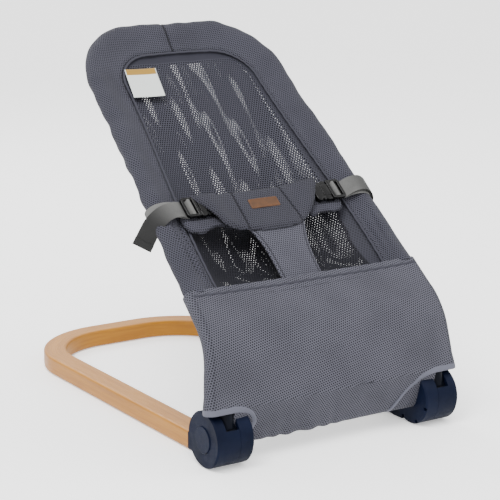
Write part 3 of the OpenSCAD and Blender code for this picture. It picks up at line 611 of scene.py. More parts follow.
def side_view(off, wrap_r, steps=(16, 44, 26, 6)):
    """(y, z) at distance off outside the tube line: arc under the crossbar, straight leg,
    knee arc of radius 85 + off, straight to the knee seam."""
    foot = knee_yz - LEG_WAY * slot_foot + LEG_OUT * off
    e = foot - pivot_yz
    start = np.arctan2(e[1], e[0]) + np.arccos(wrap_r / np.linalg.norm(e))
    q = np.linspace(np.radians(338), start, steps[0])
    under = pivot_yz + wrap_r * np.stack([np.cos(q), np.sin(q)], -1)
    centre = knee_yz - LEG_WAY * knee_cut - LEG_OUT * KNEE_R
    q = np.linspace(np.pi - LEG_LEAN, np.pi / 2 + BACK_ANGLE, steps[2])
    bend = centre + (KNEE_R + off) * np.stack([np.cos(q), np.sin(q)], -1)
    end = knee_yz + BACK_WAY * KNEE_V + BACK_OUT * off
    down = (CUT_U * (1 - np.sin(np.linspace(0, np.pi / 2, 14))))[:, None]
    leg = foot + unit(under[-1] - foot) * down
    rise = foot + (bend[0] - foot) * np.linspace(0, 1, steps[1] - 6)[1:-1, None]
    tail = bend[-1] + (end - bend[-1]) * np.linspace(0, 1, steps[3])[1:, None]
    return np.concatenate([under, leg, rise, bend, tail])


front_line, rear_line = side_view(10.2, 12.4), side_view(-10.2, 12.4)
slot_row = 16 + 14 - 1
panel_run = np.concatenate([[0], np.cumsum(np.linalg.norm(np.diff(front_line, axis=0), axis=1))])
climb = panel_run - panel_run[slot_row]
print("leg panel", round(panel_run[-1]), "mm from hem to knee seam")

# %% Front view of the panel: hub cut-outs, sleeves round the legs
shoulder = 168.0
arc_share = np.clip(climb / CUT_U + 1, 0, 1)
half = shoulder - CUT_X * np.sqrt(1 - arc_share**2) * (climb < 0)
half_left = half + 4 * ease(-climb, 28, 46)
half_right = half - np.clip(-climb - 16, 0, 36) * 0.9
outer = np.interp(climb, [0, 30, 60, 95, 150, 200, 260], [207.5, 205, 201.5, 198, 194.5, 191, 188.5])
outer = np.convolve(np.pad(outer, 4, "edge"), np.ones(9) / 9, "valid")
g = np.linspace(0, 1, 34)
FOLD_R = 7.0
turn = np.clip((g - 0.45) / 0.2, 0, 1) * np.pi
reach_out = np.clip(g / 0.45, 0, 1)
reach_in = np.clip((g - 0.65) / 0.35, 0, 1)
across_share = np.linspace(0, 1, 56)[None]
sleeve_x = (shoulder + (outer[:, None] - FOLD_R - shoulder) * reach_out
            + FOLD_R * np.sin(turn) - (outer[:, None] - FOLD_R - 146) * reach_in)
depth = (1 - np.cos(turn)) / 2
x = np.concatenate([across_share * half_right[:, None], sleeve_x[:, 1:]], 1)
x_left = np.concatenate([across_share * half_left[:, None], sleeve_x[:, 1:]], 1)
depth = np.concatenate([np.zeros(56), depth[1:]])[None] + 0 * x
x = np.concatenate([-x_left[:, :0:-1], x], 1)
depth = np.concatenate([depth[:, :0:-1], depth], 1)
yz = front_line[:, None] * (1 - depth[..., None]) + rear_line[:, None] * depth[..., None]
panel = np.concatenate([x[..., None], yz], -1)
cols = x.shape[1]
sleeve_col = np.abs(np.arange(cols - 1) - (cols - 2) / 2) > 55.5
keep = ~(sleeve_col[None] & (np.arange(len(climb) - 1) < slot_row)[:, None])

# %% Panel: tension folds, a dip between the legs, and the knit's own map
face = normals(panel)
face *= np.sign((face[40, cols // 2] * [0, -1, 0.3]).sum())
rise = climb[:, None] + 0 * x
between = np.clip(1 - (x / 176) ** 2, 0, 1)
fold = (-3.2 * between**0.7 * ease(rise, 60, 190)
        + 1.5 * (1 + np.sin(x / 4.4 + 1.3 * np.sin(x / 15) + rise / 26))
        * hill(rise, -54, 30) * hill(x, -50, 58)
        + 1.5 * ease(-rise, -22, -4) * ease(abs(x), 140, 160)
        + 1.0 * np.sin(x / 11 + rise / 50) * hill(x, 60, 50) * hill(rise, 0, 26)
        + 0.9 * np.sin(rise / 17 + x / 60) * hill(abs(x), 165, 18) * (1 - depth)
        + 0.7 * np.sin((x + rise) / 26) * between * hill(rise, 150, 60))
panel = panel + face * fold[..., None]
sign = np.sign(np.arange(cols) - (cols - 1) / 2)[None]
panel_u = np.cumsum(np.linalg.norm(np.diff(panel, axis=1), axis=-1), axis=1)
panel_u = np.concatenate([np.zeros((len(x), 1)), panel_u], 1)
panel_u = panel_u - panel_u[:, cols // 2: cols // 2 + 1]
panel_uv = np.stack([panel_u, panel_run[:, None] + 0 * x], -1)
# A dark line 5.5 mm inside the outer edge of the front is painted: painted shade in the seam groove.
edge_seam_shade = 0.8 * hill(abs(x), outer[:, None] - 5.5, 0.9) * (depth < 0.1) * (rise > 2)

leg_cloth = make("leg_panel_cloth", grid(panel, panel_uv, keep, seam=edge_seam_shade), closed=False, sharp=70)
thicken(leg_cloth, 3.3)
rim = leg_cloth.modifiers.new("rim", "BEVEL")
rim.width, rim.segments, rim.limit_method, rim.angle_limit = 0.0011, 2, "ANGLE", np.radians(60)
dress(leg_cloth, leg_knit, "spacer_fabric", "seat", "leg_panel")

# %% [markdown]
# ## Light binding round the hub cut-outs
# A woven tape is folded over the cut edge and sewn down. It is a rounded strip carried
# along the edge: in from the sleeve, round the corner, and down to the hem.

# %% Binding
weave_binding = Finish("binding_tape", Specular_IOR_Level=0.2, Sheen_Weight=0.03)
u, v, _ = weave_binding.split(weave_binding.coords("UV"))
rib = (u * 9000.0).cos() * 0.5 + 0.5
specks = weave_binding.noise(weave_binding.join(u, v, 0.0), 800.0)
binding_tone = weave_binding.mix(rib * 0.25 + specks * 0.2, srgb(86, 87, 98), srgb(48, 49, 60))
weave_binding.set(Base_Color=binding_tone, Roughness=weave_binding.ramp(specks, 0.2, 0.8, 0.6, 0.8))
weave_binding.bump(rib * 0.5 + specks * 0.4, 0.0002, 0.6)


SHOULDER_COLS, SLEEVE_COLS = 55, 88
half_cols = (cols - 1) // 2
edges = []
for way in (-1, 1):
    shoulder_col, end_col = half_cols + way * SHOULDER_COLS, half_cols + way * SLEEVE_COLS
    level_cols = np.arange(end_col, shoulder_col, -way)
    level, drop = (slot_row, level_cols), (slice(slot_row, 0, -1), shoulder_col)
    line = even(np.concatenate([panel[level], panel[drop]]), 150)
    facing = unit(even(unit(np.concatenate([face[level], face[drop]])), 150))
    tape = carry(line, facing, pebble(4.6, 9.0, 3.4, 20))
    edges.append(grid(capped(tape)))
binding = make("hub_cutout_binding", *edges)
dress(binding, weave_binding.material, "binding", "seat", "hem_binding")

# %% [markdown]
# ## Stitches
# Rows of thread hold the seams. Each stitch is a short capsule that dips into the cloth at
# both ends. All the stitches of a seam are computed at once and share one mesh.

# %% Thread, and a function that sews along a path
thread = Finish("thread", Roughness=0.6, Specular_IOR_Level=0.3)
twist = thread.noise(thread.coords(), 2500.0)
thread.set(Base_Color=thread.mix(twist, srgb(50, 50, 60), srgb(24, 24, 32)))


def sewn(path, up, pitch=3.6, length=2.7, r=0.35):
    """Capsules centred every pitch: along the tangent, raised by up, with radius r sqrt(1 - s^2)."""
    total = np.linalg.norm(np.diff(path, axis=0), axis=1).sum()
    count = max(int(total / pitch), 2)
    where, lift = even(path, count), unit(even(up, count))
    tangent = unit(np.gradient(where, axis=0))
    side = np.cross(tangent, lift)
    s, q = np.linspace(-1, 1, 6), np.linspace(0, 2 * np.pi, 7)
    radius = r * np.sqrt(1 - s**2)
    points = (where[:, None, None] + tangent[:, None, None] * (s * length / 2)[None, :, None, None]
              + lift[:, None, None] * (r * 0.8 * (1 - s**2)[:, None]
                                       + radius[:, None] * np.sin(q))[None, ..., None]
              + side[:, None, None] * (radius[:, None] * np.cos(q))[None, ..., None])
    rows = points.reshape(count * 6, 7, 3)
    keep = (np.arange(count * 6 - 1) % 6 != 5)[:, None] & np.ones((1, 6), bool)
    return grid(rows, keep=keep)


SEAM_COL = 5
knee_cols = np.arange(half_cols - 86, half_cols + 87)
stitching = make("seam_stitches",
                 sewn(border[6:-6, SEAM_COL], out_dir[6:-6, SEAM_COL]),
                 sewn(panel[-3, knee_cols] + face[-3, knee_cols] * 1.7, face[-3, knee_cols]), sharp=80)
dress(stitching, thread.material, "spacer_fabric", "seat")

# %% Edge tape of the inner seam, and the piping of the knee seam
tape_finish = Finish("edge_tape", Specular_IOR_Level=0.15, Sheen_Weight=0.03)
along, _, _ = tape_finish.split(tape_finish.coords("UV"))
ribs = (along * 5200.0).cos() * 0.5 + 0.5
tape_finish.set(Base_Color=tape_finish.mix(ribs * 0.4, srgb(50, 50, 58), srgb(24, 24, 31)),
                Roughness=0.75 + ribs * 0.1)
tape_finish.bump(ribs, 0.0002, 0.6)
tape_line = seam_line - outward * 1.6
tape_path = on_back(tape_line[:, 0], tape_line[:, 1], 3.0 + 0.35 * np.sin(run / 3.1))
seam_tape = make("inner_seam_tape", grid(capped(carry(tape_path, np.broadcast_to(UP_BACK, tape_path.shape),
                                                      pebble(1.6, 3.6, 3.0, 16)))))
piped = slice(half_cols - 70, half_cols + 71)
knee_row = panel[-2, piped] + face[-2, piped] * 1.5
piping = make("knee_seam_piping", grid(capped(carry(knee_row, face[-2, piped], pebble(2.6, 3.4, 2.2, 14)))))
for obj in (seam_tape, piping):
    dress(obj, tape_finish.material, "binding", "seat")

# %% [markdown]
# ## Filling soft pads
# The flap and the pads under the buckles are stuffed. Each starts as a thin slab, is
# remeshed evenly and blown up a little by the cloth solver, with a cap on how far it may
# move. The seams are pressed in afterwards, because they are finer than the remesh.

# %% Inflate by cloth
def inflated(obj, voxel=0.0026, pressure=4.0, cap=0.003):
    """Voxel remesh, 20 frames of Cloth under pressure, movement capped, one subdivision."""
    scene = bpy.context.scene
    remesh = obj.modifiers.new("even", "REMESH")
    remesh.mode, remesh.voxel_size = "VOXEL", voxel
    graph = bpy.context.evaluated_depsgraph_get()
    even_mesh = bpy.data.meshes.new_from_object(obj.evaluated_get(graph))
    obj.modifiers.clear()
    obj.data = even_mesh
    start = np.empty(len(even_mesh.vertices) * 3)
    even_mesh.vertices.foreach_get("co", start)
    cloth = obj.modifiers.new("filling", "CLOTH")
    cloth.settings.use_pressure, cloth.settings.uniform_pressure_force = True, pressure
    cloth.settings.effector_weights.gravity = 0
    cloth.settings.quality = 5
    cloth.point_cache.frame_start, cloth.point_cache.frame_end = 1, 20
    for step in range(1, 21):
        scene.frame_set(step)
    moved = bpy.data.meshes.new_from_object(obj.evaluated_get(bpy.context.evaluated_depsgraph_get()))
    end = np.empty_like(start)
    moved.vertices.foreach_get("co", end)
    move = (end - start).reshape(-1, 3)
    far = np.linalg.norm(move, axis=1, keepdims=True)
    move *= cap * np.tanh(far / cap) / np.maximum(far, 1e-9)
    even_mesh.vertices.foreach_set("co", start + move.ravel())
    obj.modifiers.clear()
    scene.frame_set(1)
    smooth = obj.modifiers.new("smooth", "SUBSURF")
    smooth.levels = smooth.render_levels = 1
    obj.data = bpy.data.meshes.new_from_object(obj.evaluated_get(bpy.context.evaluated_depsgraph_get()))
    obj.modifiers.clear()
    return obj


def to_back(obj):
    """Mesh points in the backrest frame (x, v, n), in mm."""
    co = np.empty(len(obj.data.vertices) * 3)
    obj.data.vertices.foreach_get("co", co)
    co = co.reshape(-1, 3) / MM
    y, z = co[:, 1] - KNEE[1], co[:, 2] - KNEE[2]
    return np.stack([co[:, 0], y * np.cos(BACK_ANGLE) + z * np.sin(BACK_ANGLE),
                     z * np.cos(BACK_ANGLE) - y * np.sin(BACK_ANGLE)], -1)


def from_back(obj, xvn, seam):
    """Put points back, map the cloth by (x, v) and store how much of each point is painted as seam shade.
    """
    mesh = obj.data
    mesh.vertices.foreach_set("co", (on_back(*xvn.T) * MM).ravel())
    corner = np.empty(len(mesh.loops), int)
    mesh.loops.foreach_get("vertex_index", corner)
    layer = mesh.uv_layers.get("cloth") or mesh.uv_layers.new(name="cloth")
    layer.data.foreach_set("uv", (xvn[corner, :2] * MM).ravel())
    mesh.attributes.new("seam", "FLOAT", "POINT").data.foreach_set("value", seam)
    mesh.polygons.foreach_set("use_smooth", [True] * len(mesh.polygons))
    mesh.update()


# %% [markdown]
# ## The restraint flap and its crotch strap
# The flap is a shield over the child's lap: wide above, where the buckles clip on, and
# narrow below, where it runs into the crotch strap. Two seams divide it in three panels.

# %% Flap
def flap_lift(x):
    """Height over the hoop's plane: 12 in the middle, and 18 over the buckles."""
    return 11.3 + 6.6 * ease(abs(x + 8), 52, 86) + 0.8 * (1 - ((x + 8) / 120) ** 2)


flap_corners = [(-122, 241), (103, 246), (80, 206), (60, 182), (36, 167), (-22, 165), (-60, 171),
                (-86, 178), (-96, 202)]
flap_line = even(rounded(flap_corners, [3, 7, 22, 20, 20, 30, 14, 12, 20]), 141)
fx, fv, fn = pillow(flap_line, -2.2, 2.2, 2.1, rings=14)
flap = make("lap_flap", grid(on_back(fx, fv, fn + flap_lift(fx) + 0.8 * hill(fv, 168, 10))))
flap = inflated(flap, voxel=0.0026, cap=0.0022)
p = to_back(flap)
mid = flap_lift(p[:, 0]) + 0.8 * hill(p[:, 1], 168, 10)
groove = hill(p[:, 0] + 50, 0, 1.4) + hill(p[:, 0] - 36 + 0.16 * (p[:, 1] - 210), 0, 1.4)
hem = (((p[:, None, :2] - flap_line[None, ::2]) ** 2).sum(-1) ** 0.5).min(1)
groove = np.clip(groove + 0.35 * hill(hem, 4.5, 1.0), 0, 1)
patch_zone = (abs(p[:, 0] + 7) < 26) & (abs(p[:, 1] - 212) < 10)
p[:, 2] = mid + (p[:, 2] - mid) * (1 - 0.6 * groove) + 0.35 * np.sin(p[:, 0] / 9) * hill(p[:, 1], 214, 26)
patch_base = float(p[patch_zone, 2].max()) - 0.5
# The grooves and a line 4.5 mm inside the hem are also painted dark through the seam mark: painted shade in
# the seams and along the hem.
from_back(flap, p, groove * 0.75)
dress(flap, flap_knit, "spacer_fabric", "seat", "restraint_flap")

# %% Crotch strap: from the knee seam up under the flap
v = np.linspace(KNEE_V - 1, 186, 60)[:, None]
f = np.clip((v - KNEE_V) / 92, 0, 1)
width = 34 + 14 * f**3
section = pebble(2, 1, 5.0, 64)[None]
x = section[..., 0] * width
n = 1.6 + 6.6 * ease(f, 0.1, 1.1) + section[..., 1] * 5.0
n = n + 1.3 * np.sin(np.pi * np.clip(f, 0, 1)) * (1 - (x / 60) ** 2)
strap_points = on_back(x, v, n)
# A dark line 4.5 mm inside each edge of the top face is painted: painted shade in the edge seam.
strap_seam_shade = 0.8 * hill(abs(x), width - 4.5, 0.9) * (section[..., 1] > 0)
crotch = make("crotch_strap_cloth", grid(capped(strap_points), ends_repeated(np.stack([x, v + 0 * x], -1)),
                                         seam=ends_repeated(strap_seam_shade)), sharp=60)
dress(crotch, smooth_knit, "spacer_fabric", "seat", "crotch_strap")

# %% Pads under the buckles
pad_corners = {"left": [(62, 244), (120, 247), (141, 241), (150, 203),
                        (142, 180), (118, 178), (96, 186), (64, 180)],
               "right": [(62, 244), (112, 248), (130, 240), (132, 205),
                         (127, 189), (108, 184), (88, 187), (64, 180)]}
for side, way in (("left", -1), ("right", 1)):
    name = side + "_buckle_pad"
    pad_line = even(rounded(pad_corners[side], [12, 8, 8, 14, 10, 14, 14, 12]), 113)
    px, pv, pn = pillow(pad_line, -1.6, 1.6, 1.5, rings=12)
    tilt = 4.4 + 0.08 * np.clip(px - 120, 0, 40) + 2.0 * hill(pv, 184, 12)
    pad = make(name, grid(on_back(way * px, pv, pn + tilt)))
    pad = inflated(pad, cap=0.0026)
    p = to_back(pad)
    p[:, 2] = np.where(p[:, 1] > 203, np.minimum(p[:, 2], 7.1), p[:, 2])
    p[:, 2] += 0.9 * np.sin(p[:, 0] / 8) * hill(p[:, 1], 182, 10)
    # A dark line 3.6 mm inside the rim is painted through the seam mark: painted shade in the edge seam.
    rim = (((p[:, None, :2] - (pad_line * [way, 1])[None, ::2]) ** 2).sum(-1) ** 0.5).min(1)
    from_back(pad, p, 0.6 * hill(rim, 3.6, 1.0))
    dress(pad, knit, "spacer_fabric", "seat", f"{side}_wing_pad")

# %% [markdown]
# ## Side-release buckles
# The socket is a flat shell with a window on each side, where the plug's two springy prongs
# show. The plug ends in a ladder: a frame and a bar that the webbing is threaded through.

# %% Gloss plastic, and both halves of a buckle
gloss = Finish("buckle_acetal", Specular_IOR_Level=0.25)
skin = gloss.noise(gloss.coords(), 60.0, 4.0)
scuff = gloss.noise(gloss.coords(), 900.0, 2.0)
gloss.set(Base_Color=gloss.mix(skin, srgb(5, 5, 6), srgb(3, 3, 3)),
          Roughness=gloss.ramp(scuff, 0.35, 0.75, 0.2, 0.34))
gloss.bump(scuff, 0.00005, 0.5)
STRAP_V, BUCKLE_N0, BUCKLE_N1 = 222.0, 7.6, 17.6


def slab(corners, radius, n0, n1, edge=1.0, crown=0.0, way=1):
    x, v, n = pillow(even(rounded(corners, radius), 97), n0, n1, edge, crown, 6)
    return grid(on_back(way * x, v + STRAP_V, n))


def buckle_halves(way):
    half_socket = [(86, 13), (90, 17), (94, 17), (95.5, 13.6), (102, 13.6), (104, 17), (112, 17)]
    socket_shape = [(86, -13)] + half_socket + [(x, -v) for x, v in half_socket[:0:-1]]
    panel_shape = [(99, -9), (99, 9), (111.6, 10.5), (111.6, -10.5)]
    socket = [slab(socket_shape, 1.6, BUCKLE_N0, BUCKLE_N1 - 1.8, 1.5, 0.5, way),
              slab(panel_shape, 3, BUCKLE_N1 - 3, BUCKLE_N1 - 0.6, 0.9, 0.5, way)]
    loop = even(rounded([(116.5, -14.9), (116.5, 14.9), (133.8, 14.9), (133.8, -14.9)], 3.0), 81)
    ring = on_back(way * loop[:, 0], loop[:, 1] + STRAP_V, 14.2)
    normal = np.broadcast_to(UP_BACK, ring.shape)
    bar = on_back(way * 124.6, STRAP_V + np.linspace(-15, 15, 20), 13.4)
    neck = [(112.5, -16.8), (112.5, 16.8), (118.4, 16.8), (118.4, -16.8)]
    plug = [grid(carry(ring, normal, pebble(5.8, 4.6, 3.6))),
            grid(capped(carry(bar, normal[:20], pebble(4.0, 3.4, 3.0)))),
            slab(neck, 2, BUCKLE_N0 + 0.1, BUCKLE_N1 - 0.1, 1.3, 0.4, way)]
    for s in (-1, 1):
        hook = [(97.5, s * 12.9), (96.6, s * 16.4), (101.2, s * 16.2), (104, s * 12.9)]
        prong = [(97, s * 8.6), (97, s * 13.2), (114, s * 13.2), (114, s * 8.6)]
        plug += [slab(hook, 1.2, 10.2, 15.0, 0.8, 0.0, way), slab(prong, 1.0, 10.8, 14.4, 0.6, 0.0, way)]
    return socket, plug


for side, way in (("left", -1), ("right", 1)):
    socket, plug = buckle_halves(way)
    for name, patches, node, body in ((f"{side}_socket_shell", socket, f"{side}_buckle_socket", "seat"),
                                      (f"{side}_plug_ladder", plug, f"{side}_buckle_plug", f"{side}_clip")):
        obj = make(name, *patches, sharp=50)
        dress(obj, gloss.material, "buckle_plastic", body, node)

# %% [markdown]
# ## Webbing
# Flat woven tape, 28 mm wide. It comes out of the ladder in two layers: the lower one is
# sewn to the back of the hoop, and the upper one is the free end that is pulled to tighten.
# Each is a thin rounded strip carried along its path, and its weave runs with the tape.

# %% Webbing weave
def woven(name, light, dark, shade=0.0):
    """Twill: two sets of cosine ribs that mirror at the middle, crossed by a finer rib. With a shade, the
    tape is painted darker towards its end: painted shade where it hangs away from the light."""
    f = Finish(name, Specular_IOR_Level=0.12, Sheen_Weight=0.03)
    u, v, _ = f.split(f.coords("UV"))
    twill = (u * 3600.0 + (v * 2300.0).abs()).cos() * 0.5 + 0.5
    rib = (v * 4200.0).cos() * 0.5 + 0.5
    fray = f.noise(f.join(u, v, 0.0), 600.0)
    worn = f.noise(f.join(u, v, 0.0), 40.0)
    tone = f.mix(twill * 0.3 + rib * 0.15 + f.ramp(worn, 0.4, 0.8) * 0.15, light, dark)
    # With shade, the tape is painted toward its dark colour from 30 to 85 mm along it: painted shade.
    f.set(Base_Color=f.mix(f.ramp(u, 0.03, 0.085) * shade, tone, dark),
          Roughness=f.ramp(fray, 0.2, 0.8, 0.5, 0.72))
    f.bump(twill * 0.6 + rib * 0.5 + fray * 0.3, 0.0003, 0.7)
    return f.material


tape_light = woven("webbing_grey", srgb(100, 100, 99), srgb(44, 44, 44))
# The free ends are the same webbing as the fixed straps, painted darker overall and darker still towards
# the end: painted shade.
shaded_tail_webbing = woven("webbing_tail_shaded", srgb(94, 94, 93), srgb(8, 8, 9), 0.85)


def tape(points, ways, width=28.0, thick=1.5, count=90, start=0.0):
    """Strip along a curve in the backrest frame; ways is the direction of its width at each point,
    and start is where its map begins along the tape."""
    path, way = through(points, count), unit(through(ways, count))
    path, way = on_back(*path.T), on_back(*way.T) - on_back(0, 0, 0)
    strip = carry(path, way, pebble(width, thick, 7.0, 40))
    across = np.broadcast_to(pebble(width, thick, 7.0, 40)[:, 0], strip.shape[:2])
    along = np.broadcast_to(start + lengths(strip, 0)[:, None], across.shape)
    return grid(capped(strip), ends_repeated(np.stack([along, across], -1)))


def follow_plug(obj, way):
    """Bake the webbing's placement into its mesh; the points on the hoop and at the plug are computed but
    not used.
    """
    tuple(on_back(way * 176, STRAP_V, 8) * MM)
    tuple(on_back(way * 138, STRAP_V, 12) * MM)
    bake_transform(obj)


# %% Webbing: fixed straps round the hoop
hx = float(hoop_x(STRAP_V))
fixed = [(117.6, 8.6), (123, 8.5), (129, 8.4), (134, 8.4), (139, 9.6), (148, 13.2), (158, 15.2),
         (hx, 15.0), (hx + 9, 12.2), (hx + 15.4, 6.5), (hx + 18.2, -1), (hx + 15, -9), (hx + 7, -13.6),
         (hx - 4, -14.8), (hx - 16, -14)]
for side, way in (("left", -1), ("right", 1)):
    points = [(way * x, STRAP_V, n) for x, n in fixed]
    obj = make(f"{side}_fixed_webbing", tape(points, [(0, 1, 0)] * len(points)), sharp=50)
    dress(obj, tape_light, "webbing", None, f"{side}_strap")
    follow_plug(obj, way)

# %% Webbing: the two free ends
def hem_fold(points, ways):
    """The last 11 mm again, half a millimetre wider and twice as thick: the end is folded and sewn."""
    path, way = through(points, 400), unit(through(ways, 400))
    left_over = lengths(path[:, None], 0)[-1] - lengths(path[:, None], 0)
    # The fold's map starts at 110 mm, past the end of the ramp, so the folded end carries the full painted
    # shade.
    return tape(path[left_over < 11], way[left_over < 11], 28.6, 3.1, 14, start=110.0)


over_bar = [(118.4, 10.6), (120.0, 13.4), (122.4, 16.2), (125.4, 16.3), (127.8, 13.6), (129.6, 10.8),
            (134, 10.2), (139, 12.2)]
ends = {"left": ([(-x, 222, n) for x, n in over_bar]
                 + [(-150, 219.5, 17.2), (-165, 216, 19), (-177, 212, 15.5), (-188, 207.5, 3),
                    (-193, 203, -9), (-196, 200, -19), (-199, 197, -30)],
                 [(0, 1, 0)] * 8 + [(-0.06, 1, -0.06), (-0.16, 1, -0.08), (-0.3, 1, 0), (-0.46, 0.92, 0.1),
                                    (-0.58, 0.85, 0.1), (-0.66, 0.76, 0.1), (-0.7, 0.72, 0.1)]),
        "right": ([(x, 222, n) for x, n in over_bar]
                  + [(149, 223.5, 17.5), (161, 224.5, 20.5), (173, 224, 19.6), (184, 222, 12.5),
                     (190.5, 219, 1), (191, 216, -12), (187, 213, -23), (180, 211, -33)],
                  [(0, 1, 0)] * 16)}
for side, way in (("left", -1), ("right", 1)):
    points, ways = ends[side]
    obj = make(f"{side}_free_webbing", tape(points, ways, count=150), hem_fold(points, ways), sharp=50)
    dress(obj, shaded_tail_webbing, "webbing", None, f"{side}_strap_tail")
    follow_plug(obj, way)

# %% [markdown]
# ## Label and leather patch
# A blank care label with a plain yellow band is sewn in at the top corner, and a blank
# patch of tan leather sits on the flap. Neither carries any words.

# %% Care label
satin = Finish("label_satin", Roughness=0.42, Specular_IOR_Level=0.4, Sheen_Weight=0.2)
u, v, _ = satin.split(satin.coords("UV"))
warp = (u * 5200.0).cos() * 0.5 + 0.5
band = satin.ramp(v, 0.0478, 0.0482)
rim = satin.ramp((u - 0.029).abs(), 0.0272, 0.0278)
blank = satin.mix(warp * 0.15, srgb(190, 195, 192), srgb(160, 164, 162))
satin.set(Base_Color=satin.mix(band * (1 - rim), blank, srgb(134, 100, 0)))
satin.bump(warp, 0.0001, 0.4)
label_u, label_v = np.meshgrid(np.linspace(0, 58, 30), np.linspace(0, 60, 30), indexing="xy")
lx = label_u * 0.9 - 115 + 0.17 * label_v
lv = label_v * 0.98 + 443 - 0.03 * label_u
ln = (4.6 + 1.6 * hill(label_v, 0, 14) + 1.0 * hill(label_u, 58, 16)
      + 0.7 * np.sin(label_v / 11) - 0.8 * ease(lx, -110, -60))
label = make("blank_care_label", grid(on_back(lx, lv, ln), np.stack([label_u, label_v], -1)), closed=False)
thicken(label, 0.5)
dress(label, satin.material, "label", "seat", "care_label")

# %% Leather patch
leather = Finish("tan_leather", Roughness=0.45, Specular_IOR_Level=0.4)
pores = leather.node("ShaderNodeTexVoronoi", {}, {"Vector": leather.coords(), "Scale": 900.0})
cloudy = leather.noise(leather.coords(), 120.0, 4.0)
leather.set(Base_Color=leather.mix(leather.ramp(cloudy, 0.3, 0.75), srgb(72, 42, 11), srgb(60, 34, 7)),
            Roughness=leather.ramp(pores, 0.0, 0.8, 0.38, 0.6))
leather.bump(pores * 0.6 + cloudy * 0.6, 0.00025, 0.6)
PATCH_X, PATCH_V = -7.0, 212.5
patch_line = even(rounded([(-24.5, -8.5), (24.5, -8.5), (24.5, 8.5), (-24.5, 8.5)], 2.5), 97)
px, pv, pn = pillow(patch_line, 0, 1.7, 0.6, rings=8)
PATCH_BEND = 0.0006
patch_n = pn + patch_base - PATCH_BEND * px**2
patch = make("blank_leather_patch", grid(on_back(px + PATCH_X, pv + PATCH_V, patch_n)))
dress(patch, leather.material, "tan_leather", "seat", "badge_patch")
inset = even(rounded([(-22.6, -6.6), (22.6, -6.6), (22.6, 6.6), (-22.6, 6.6)], 1.5), 121)
sewing_n = patch_base + 1.65 - PATCH_BEND * inset[:, 0] ** 2
sewing_path = on_back(inset[:, 0] + PATCH_X, inset[:, 1] + PATCH_V, sewing_n)
sewing_up = np.broadcast_to(UP_BACK, sewing_path.shape)
patch_sewing = make("patch_stitches", sewn(sewing_path, sewing_up, 2.6, 1.9, 0.28), sharp=80)
tan_thread = Finish("tan_thread", Roughness=0.55)
fibres = tan_thread.noise(tan_thread.coords(), 2500.0)
tan_thread.set(Base_Color=tan_thread.mix(fibres, srgb(120, 66, 26), srgb(70, 34, 10)))
dress(patch_sewing, tan_thread.material, "tan_leather", "seat")

# %% [markdown]
# ## The bent-wood base
# Thin veneers are glued face to face and bent in a U, so fine glue lines run along the top,
# and the broad sides show the grain of one veneer. A rounded box is carried along the U,
# and its map runs with the wood, so the grain follows the bends.

# %% Wood
def grained(name):
    f = Finish(name, Specular_IOR_Level=0.25, Coat_Roughness=0.4)
    u, v, _ = f.split(f.coords("UV"))
    _, _, up = f.split(f.node("ShaderNodeNewGeometry", out=1))
    flat = f.ramp(up.abs(), 0.5, 0.85)
    long = f.join(u * 0.045, v, 0.0)
    figure = f.noise(long, 150.0, 5.0, 0.6)
    fibre = f.noise(long, 1100.0, 2.0)
    ply = ((v * (2 * np.pi / 0.0030)).cos() * 0.5 + 0.5)
    glue = f.ramp(ply, 0.9, 1.0) * flat
    streak = f.ramp(figure, 0.35, 0.7)
    warm = f.mix(streak * 0.7, srgb(168, 116, 44), srgb(144, 92, 26))
    side = f.mix(streak * 0.7, srgb(152, 100, 6), srgb(126, 76, 3))
    tone = f.mix(flat, side, warm)
    tone = f.mix(f.ramp(fibre, 0.5, 0.75) * 0.16, tone, srgb(96, 54, 16))
    f.set(Base_Color=f.mix(glue * 0.3, tone, srgb(104, 60, 20)),
          Roughness=f.ramp(fibre, 0.3, 0.7, 0.38, 0.5))
    f.shader.inputs["Coat Weight"].default_value = 0.1
    f.bump(fibre * 0.5 + figure * 0.3 - glue * 0.6, 0.0002, 0.35)
    return f.material


wood_high = np.array(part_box("wood_base")[1]) / MM
WOOD_W, WOOD_R = 36.3, 143.3
side_x, back_y, mid_z = wood_high[0] - WOOD_W / 2, wood_high[1] - WOOD_W / 2, (1 + wood_high[2]) / 2
mouth_y = PIVOT[1] + 74.05
bend_r = WOOD_R - WOOD_W / 2
q = np.linspace(0, np.pi / 2, 60)[1:-1]
rise = np.linspace(mouth_y, back_y - bend_r, 70)
bend_x, bend_y = side_x - bend_r, back_y - bend_r
bend = np.stack([bend_x + bend_r * np.cos(q), bend_y + bend_r * np.sin(q)], -1)
half_path = np.concatenate([np.stack([side_x + 0 * rise, rise], -1), bend, [[bend_x, back_y], [0, back_y]]])
path = np.concatenate([half_path, half_path[-2::-1] * [-1, 1]])
path = even(path, 330)
path = np.concatenate([path, np.full((330, 1), mid_z)], -1)
half_w, half_h = WOOD_W / 2, 13.5
wood_corners = [(-half_w, -half_h), (half_w, -half_h), (half_w, half_h), (-half_w, half_h)]
box_line = even(rounded(wood_corners, 4.2), 73)
tangent = unit(np.gradient(path, axis=0))
wood_side = np.cross(tangent, [0, 0, 1])
bar = carry(path, wood_side, box_line)
wood_uv = np.stack([np.broadcast_to(lengths(bar, 0)[:, None], bar.shape[:2]),
                    np.broadcast_to(lengths(bar, 1)[None], bar.shape[:2])], -1)
wood = make("bent_wood_base", grid(capped(bar), ends_repeated(wood_uv)), sharp=50)
dress(wood, grained("bent_beech"), "wood", "base", "wood_base")

# %% [markdown]
# ## Finishes for the parts that come from CAD
# The hub shells are moulded with a fine spark texture, the buttons are a touch smoother,
# the tube is powder coated, and the fasteners are zinc plated. All are noise of different
# sizes in bump, roughness and colour, on Object coordinates.

